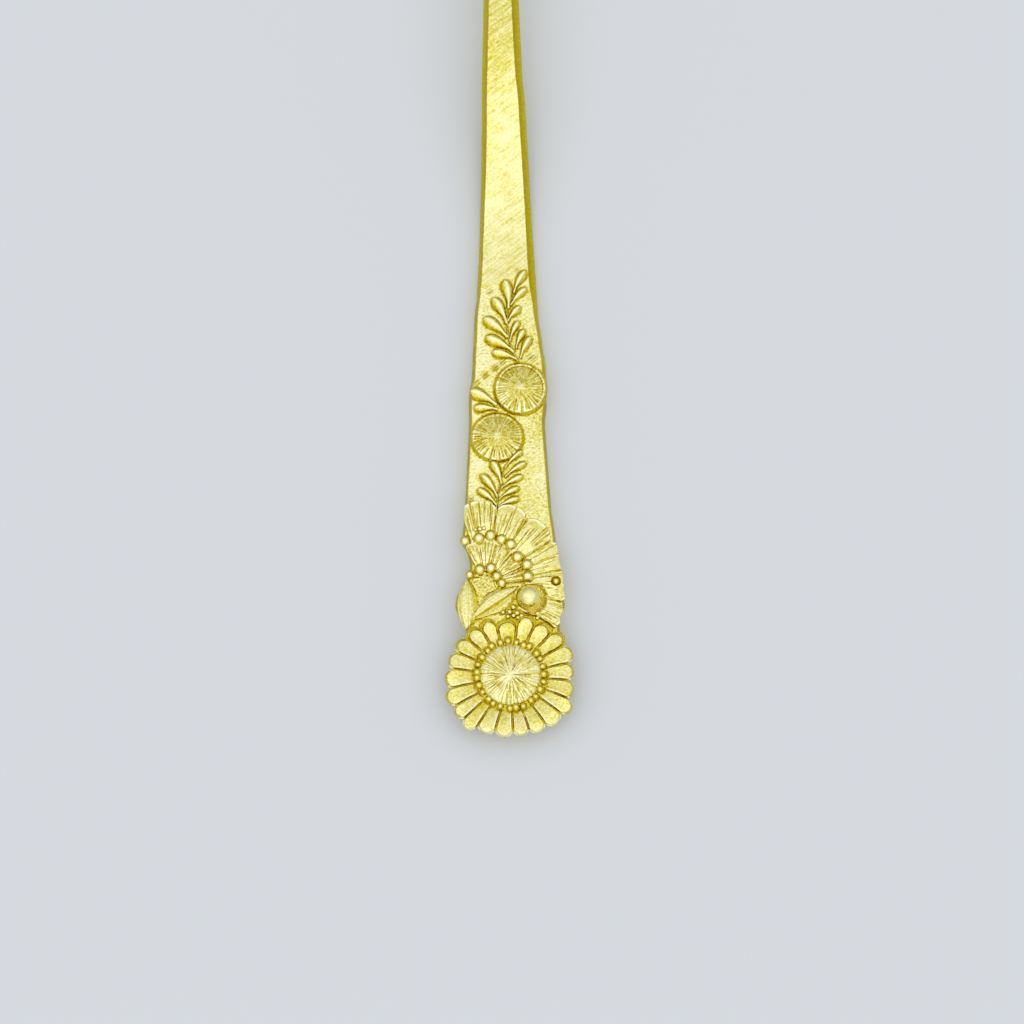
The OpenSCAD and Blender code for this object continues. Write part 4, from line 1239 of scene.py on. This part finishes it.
# Sections of the leaves from their right edge, at -1, to their left edge, at 1: share of the height, and tone, with
# painted highlights along the ridges, painted shade on the right halves and darker edges, and patina in the slanted
# leaf's sunk midrib
UPRIGHT_SECTION = ((-1, 0.45), (-0.3, 0.85), (0.05, 1), (0.5, 0.9), (1, 0.55))
UPRIGHT_TONES = ((-1, 0.9), (-0.85, 0.5), (-0.35, 0.15), (-0.2, -0.1), (0.05, -0.7), (0.4, -0.3), (0.85, -0.1),
                 (1, 0.6))
SLANTED_SECTION = ((-1, 0.35), (-0.6, 0.6), (-0.25, 0.5), (-0.15, 0.45), (0, 0.95), (0.6, 0.9), (1, 0.6))
SLANTED_TONES = ((-1, 0.7), (-0.75, 0.2), (-0.3, 0.32), (-0.16, 0.9), (-0.04, -0.4), (0.15, 0), (0.9, 0.05),
                 (1, 0.35))


# Share of a leaf's length that is modelled, just short of its sharp points
LEAF_SPAN = (0.006, 0.994)


def make_leaf(node, seed, section, tones, rounds):
    own = sizes("leaves")
    foot, direction, long, wide = leaf_frames()[node]
    line = polar(1, direction)
    across = Vector((-line.y, line.x))
    veins = Strokes(seed, own.veins, late=0.5, early=0.7, slant=1.2)

    def surface(u, v):
        t = mix(*LEAF_SPAN, v)
        f = 2 * u - 1
        at = push_out(foot + line * (t * long) + across * (f * leaf_half_width(t, wide)), rounds)
        swell = mix(0.45, 1, math.sqrt(math.sin(math.pi * t)))
        cut = veins.cut(u, t, width=0.3)
        height = own.height * swell * spline(section, f) - own.vein_depth * cut
        return at, height, max(spline(tones, f), 0.3 * cut)

    make_relief(node, surface, columns=60, rows=60, slopes=0.4)


class FORK_OT_leaves(bpy.types.Operator):
    """Ridged upright leaf, and slanted leaf with a sunk midrib"""
    bl_idname = "fork.leaves"
    bl_label = "Leaves"

    def execute(self, context):
        daisy = (Vector((0, 0)), sizes("daisy").radius + SEAM)
        collar = (plan_middle("pearl_collar"), plan_radius("pearl_collar") + SEAM)
        make_leaf("upright_leaf", seed=31, section=UPRIGHT_SECTION, tones=UPRIGHT_TONES, rounds=[daisy])
        make_leaf("slanted_leaf", seed=32, section=SLANTED_SECTION, tones=SLANTED_TONES, rounds=[daisy, collar])
        return {"FINISHED"}


# Button flowers

# Share of a flower's rows on its top, before its wall
TOP_ROWS = 0.86
# Painted shade between a flower's middle and its rim
FLOWER_SHADE = 0.28
# Height of the ring that stands up at the rim, and of the wall's foot
LIP_HEIGHT, WALL_FOOT = 0.12 * MM, 0.12 * MM


def make_flower(node, seed, squash, lip):
    """Domed button whose flutes are strongest at its lower side.

    squash is its length for its width, and lip is how far a ring stands up at its upper side.
    """
    own = sizes("flowers")
    middle, radius = plan_middle(node), plan_radius(node)
    flutes = Strokes(seed, own.flutes, late=0.45, early=0.95, shallow=0.3, slant=0.4)
    rays = Strokes(seed + 10, 2 * own.flutes, late=0.4, early=0.5, slant=1.5)
    top = 1 - own.wall / radius

    def surface(u, v):
        direction = 2 * math.pi * u
        r = mix(0, top, v / TOP_ROWS) if v < TOP_ROWS else mix(top, 1, share(TOP_ROWS, 1, v))
        at = middle + Vector((math.cos(direction), squash * math.sin(direction))) * (r * radius)
        inside = min(1, r / top)
        wall = share(top, 1, r) if r > top else 0
        low_side = smooth(0.5 - 0.75 * math.sin(direction + 0.35))
        ring = lip * (1 - low_side)
        moat = ring * smooth(share(0.88, 0.91, inside)) * (1 - smooth(share(0.91, 0.94, inside)))
        cut = flutes.cut(u, share(mix(0.42, 0.36, low_side), 1, inside), width=0.45) * mix(0.75, 1, low_side)
        ray = rays.cut(u, inside / 0.7) * smooth(inside / 0.2)
        height = mix(own.rim, own.height, math.cos(math.pi / 2 * inside))
        height -= own.flute_depth * max(cut * mix(0.6, 1, inside), 0.25 * ray)
        height += LIP_HEIGHT * (ring * smooth(share(0.91, 0.97, inside)) - moat)
        # The shade ends earlier at the lower side, and stops short of the ring
        shade = mix(1, 1 - smooth(share(0.5, 0.75, inside)), low_side) * smooth(share(0.1, 0.35, inside))
        shade *= FLOWER_SHADE * (1 - ring * smooth(share(0.91, 0.95, inside)))
        # Flutes, rays and the moat carry patina; the wall is darkened as painted shade, and the ring and the outer
        # part of the lower side get a painted highlight
        tone = max(0.8 * cut, 0.4 * ray, shade, 0.7 * moat, 0.65 * smooth(2 * wall))
        if tone < 0.1 and wall == 0:
            bright = max(ring * smooth(share(0.93, 0.96, inside)), low_side * smooth(share(0.55, 0.75, inside)))
            tone = min(tone, -0.35 * bright)
        return at, mix(height, WALL_FOOT, wall ** 1.3), tone

    make_relief(node, surface, columns=own.flutes * 7, rows=50, slopes=0.65)


class FORK_OT_flowers(bpy.types.Operator):
    """Pair of fluted button flowers"""
    bl_idname = "fork.flowers"
    bl_label = "Button Flowers"

    def execute(self, context):
        make_flower("lower_flower", seed=41, squash=0.94, lip=0.4)
        make_flower("upper_flower", seed=42, squash=1, lip=1)
        return {"FINISHED"}


# Leaf sprays

# Leaflets in millimetres: root and end, both across and along, width, and which way the end turns
UPPER_LEAFLETS = ((1.4, 40, -1.8, 41, 1.45, 1), (1.1, 40.9, -2.65, 42.95, 1.65, 1), (0.3, 42.8, -2.85, 45.45, 1.7, 1),
                  (0.15, 44.6, -1.65, 48.1, 1.6, 1), (0.35, 46.6, -0.15, 50.45, 1.65, 1),
                  (1.1, 48.6, 2.7, 51.65, 1.25, -1), (0.65, 47, 2.75, 49.35, 1.1, -1),
                  (0.25, 44.9, 1.95, 46.95, 1.1, -1), (0.55, 42.4, 1.75, 45.05, 1, -1),
                  (1.3, 41.4, 2.45, 43.95, 1.1, -1), (1.8, 40.1, 3.25, 43, 1.15, -1))
UPPER_STEM = ((1.5, 39.8), (-0.9, 44.4), (1.15, 48.9))
LOWER_LEAFLETS = ((-1.4, 21.3, -3.85, 23.45, 1.2, 1), (-1.3, 22.3, -3.4, 25.3, 1.3, 1), (-0.8, 24, -2.05, 27, 1.4, 1),
                  (-1.3, 21.1, 1.48, 22.2, 1, -1), (-1.2, 22, 1.48, 23.6, 0.98, -1), (-0.9, 23.4, 2, 25.05, 1.02, -1),
                  (-0.4, 24.8, 2.38, 26.75, 0.98, -1), (-0.35, 26, 1.98, 28.3, 0.9, -1))
LOWER_STEM = ((-1.5, 20), (-1.45, 22.6), (-0.4, 26.2))
SIDE_LEAFLETS = ((-1.2, 34.1, -4.68, 36, 1.8, 1), (-1, 33.55, -4.15, 33.75, 1.3, 1))
# Share of a leaflet's length that is modelled
LEAFLET_SPAN = (0.03, 0.995)


def add_leaflet(bm, root, end, wide, curl, rounds):
    """Adds a club-shaped leaflet with a raised ridge, on an arc from its root to its end."""
    own = sizes("sprays")
    span = end - root
    heading_from = math.atan2(span.y, span.x) - curl / 2
    bend = span.length / (2 * math.sin(curl / 2))

    def surface(u, v):
        t = mix(*LEAFLET_SPAN, v)
        f = 2 * u - 1
        heading = heading_from + curl * t
        spine = root + bend * Vector((math.sin(heading) - math.sin(heading_from),
                                      math.cos(heading_from) - math.cos(heading)))
        # Half of the width, as a share of the widest, with a narrow neck at the root
        club = max(0.36 * clamp((1 - t) / 0.3), math.sin(math.pi * t ** 2.4) ** 0.5)
        at = push_out(spine + polar(f * 0.94 * wide / 2 * club, heading + math.pi / 2), rounds)
        ridge = -0.2 if curl > 0 else 0
        off = (f - ridge) / (1 - ridge if f > ridge else 1 + ridge)
        height = own.height * mix(0.5, 1, club) * mix(0.35, 1, 1 - abs(off) ** 2.2)
        # Painted shade on the flanks, darkest on the left one, and a painted highlight along the ridge
        flank = 0.9 * smooth((off - 0.4) / 0.45) if off > 0 else 0.75 * smooth((-off - 0.72) / 0.28)
        painted_shading = (1 - smooth((abs(off) - 0.08) / 0.24)) * smooth(share(0.98, 0.85, t))
        return at, height, mix(max(flank, 0.26), -0.6, painted_shading)

    add_sheet(bm, columns=18, rows=30, surface=surface)


def add_stem(bm, points, rounds):
    own = sizes("sprays")
    curve = [Vector(point) * MM for point in points]

    def surface(u, v):
        along = mix(curve[1] - curve[0], curve[2] - curve[1], v).normalized()
        f = 2 * u - 1
        half = own.stem_width / 2 * mix(1, 0.5, v)
        at = push_out(bezier(curve, v) + Vector((-along.y, along.x)) * f * half, rounds)
        return at, own.height * mix(0.6, 0.25, f * f), 0.1 + 0.4 * f * f

    add_sheet(bm, columns=8, rows=30, surface=surface)


def make_spray(node, leaflets, stem):
    # The sprays reach under the flowers' walls
    tuck = 0.7 * sizes("flowers").wall
    rounds = [(plan_middle(name), plan_radius(name) - tuck) for name in ("lower_flower", "upper_flower")]
    bm = new_mesh()
    if stem:
        add_stem(bm, stem, rounds)
    for root_x, root_s, end_x, end_s, wide, turn in leaflets:
        add_leaflet(bm, Vector((root_x, root_s)) * MM, Vector((end_x, end_s)) * MM, wide * MM,
                    turn * sizes("sprays").curl, rounds)
    make_piece(bm, node, "satin_relief", slopes=0.65)


class FORK_OT_sprays(bpy.types.Operator):
    """Two leaf sprays, and the two leaflets between the flowers"""
    bl_idname = "fork.sprays"
    bl_label = "Leaf Sprays"

    def execute(self, context):
        make_spray("upper_spray", UPPER_LEAFLETS, UPPER_STEM)
        make_spray("lower_spray", LOWER_LEAFLETS, LOWER_STEM)
        make_spray("side_leaves", SIDE_LEAFLETS, None)
        return {"FINISHED"}


# Stage

FLOOR_REACH = 1.5


def add_floor():
    bm = bmesh.new()
    bmesh.ops.create_grid(bm, x_segments=1, y_segments=1, size=FLOOR_REACH)
    mesh = bpy.data.meshes.new("floor")
    bm.to_mesh(mesh)
    bm.free()
    material = bpy.data.materials.new("pale_floor")
    material.use_nodes = True
    shader = material.node_tree.nodes["Principled BSDF"]
    for socket, value in (("Base Color", sizes("finish").floor), ("Roughness", 0.7), ("Specular IOR Level", 0.1)):
        shader.inputs[socket].default_value = value
    mesh.materials.append(material)
    floor = link_new("floor", mesh)
    floor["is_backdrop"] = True


def add_camera():
    """Camera that looks steeply down on the handle, in line with the fork."""
    aim = Vector((0.49 * MM, DAISY_Y + 20.46 * MM, 2.7 * MM))
    distance, steepness, turn = 320 * MM, math.radians(80), math.radians(0.79)
    back = Vector((-math.sin(turn) * math.cos(steepness), -math.cos(turn) * math.cos(steepness),
                   math.sin(steepness)))
    data = bpy.data.cameras.new("camera")
    data.lens = 90
    data.sensor_width = 36
    data.clip_start = 0.01
    camera = link_new("camera", data)
    camera.location = aim + distance * back
    camera.rotation_euler = (-back).to_track_quat("-Z", "Y").to_euler()
    bpy.context.scene.camera = camera


def add_lamp(name, place, aim, size, power):
    data = bpy.data.lights.new(name, "AREA")
    data.shape = "RECTANGLE"
    data.size, data.size_y = size
    data.energy = power
    lamp = link_new(name, data)
    lamp.location = place
    lamp.rotation_euler = (Vector(aim) - Vector(place)).to_track_quat("-Z", "Y").to_euler()


def add_world():
    """Soft room light, strongest overhead and a little stronger in front of the fork than behind it."""
    world = bpy.data.worlds.new("room")
    bpy.context.scene.world = world
    world.use_nodes = True
    tree = world.node_tree
    direction = put(tree, "ShaderNodeTexCoord").outputs["Generated"]
    parts = put(tree, "ShaderNodeSeparateXYZ", {0: direction}).outputs
    overhead = ramp(tree, parts["Z"], 0.2, 0.72, low=0.64, high=1, kind="SMOOTHSTEP")
    shade = ramp(tree, parts["Y"], 0.85, 0.2, low=0.84, high=1.02, kind="SMOOTHSTEP")
    front = ramp(tree, parts["Y"], -0.5, -0.95, low=0, high=0.26, kind="SMOOTHSTEP")
    strength = calculate(tree, "MULTIPLY_ADD", overhead, shade, front)
    background = tree.nodes["Background"]
    background.inputs["Color"].default_value = (0.97, 0.985, 1, 1)
    tree.links.new(strength, background.inputs["Strength"])


class FORK_OT_stage(bpy.types.Operator):
    """Pale floor, camera, overhead softbox and room light"""
    bl_idname = "fork.stage"
    bl_label = "Stage"

    def execute(self, context):
        context.scene.view_settings.view_transform = "Standard"
        add_floor()
        add_camera()
        add_world()
        add_lamp("softbox", place=(-0.05, DAISY_Y - 0.16, 0.75), aim=(0, DAISY_Y + 20 * MM, 0), size=(0.5, 0.4),
                 power=0.2)
        return {"FINISHED"}


class FORK_PT_panel(bpy.types.Panel):
    """Lists the fork's pieces, in the order in which they are made"""
    bl_idname = "FORK_PT_panel"
    bl_label = "Dessert Fork"
    bl_space_type = "VIEW_3D"
    bl_region_type = "UI"
    bl_category = "Fork"

    def draw(self, context):
        for operator in OPERATORS:
            self.layout.operator(operator.bl_idname)


GROUPS = {"bar": ForkBar, "head": ForkHead, "daisy": ForkDaisy, "half_flower": ForkHalfFlower,
          "leaves": ForkLeaves, "flowers": ForkFlowers, "sprays": ForkSprays, "finish": ForkFinish}
# The blank comes after the ornaments, because its patina and painted shade gather beside them
OPERATORS = (FORK_OT_daisy, FORK_OT_half_flower, FORK_OT_pearl, FORK_OT_leaves, FORK_OT_flowers,
             FORK_OT_sprays, FORK_OT_blank, FORK_OT_stage)
CLASSES = (*GROUPS.values(), *OPERATORS, FORK_PT_panel)


def register():
    for cls in CLASSES:
        bpy.utils.register_class(cls)
    for name, group in GROUPS.items():
        setattr(bpy.types.Scene, "fork_" + name, PointerProperty(type=group))


def unregister():
    for name in GROUPS:
        delattr(bpy.types.Scene, "fork_" + name)
    for cls in reversed(CLASSES):
        bpy.utils.unregister_class(cls)


def main():
    register()
    for operator in OPERATORS:
        group, name = operator.bl_idname.split(".")
        getattr(getattr(bpy.ops, group), name)()


if __name__ == "__main__":
    main()
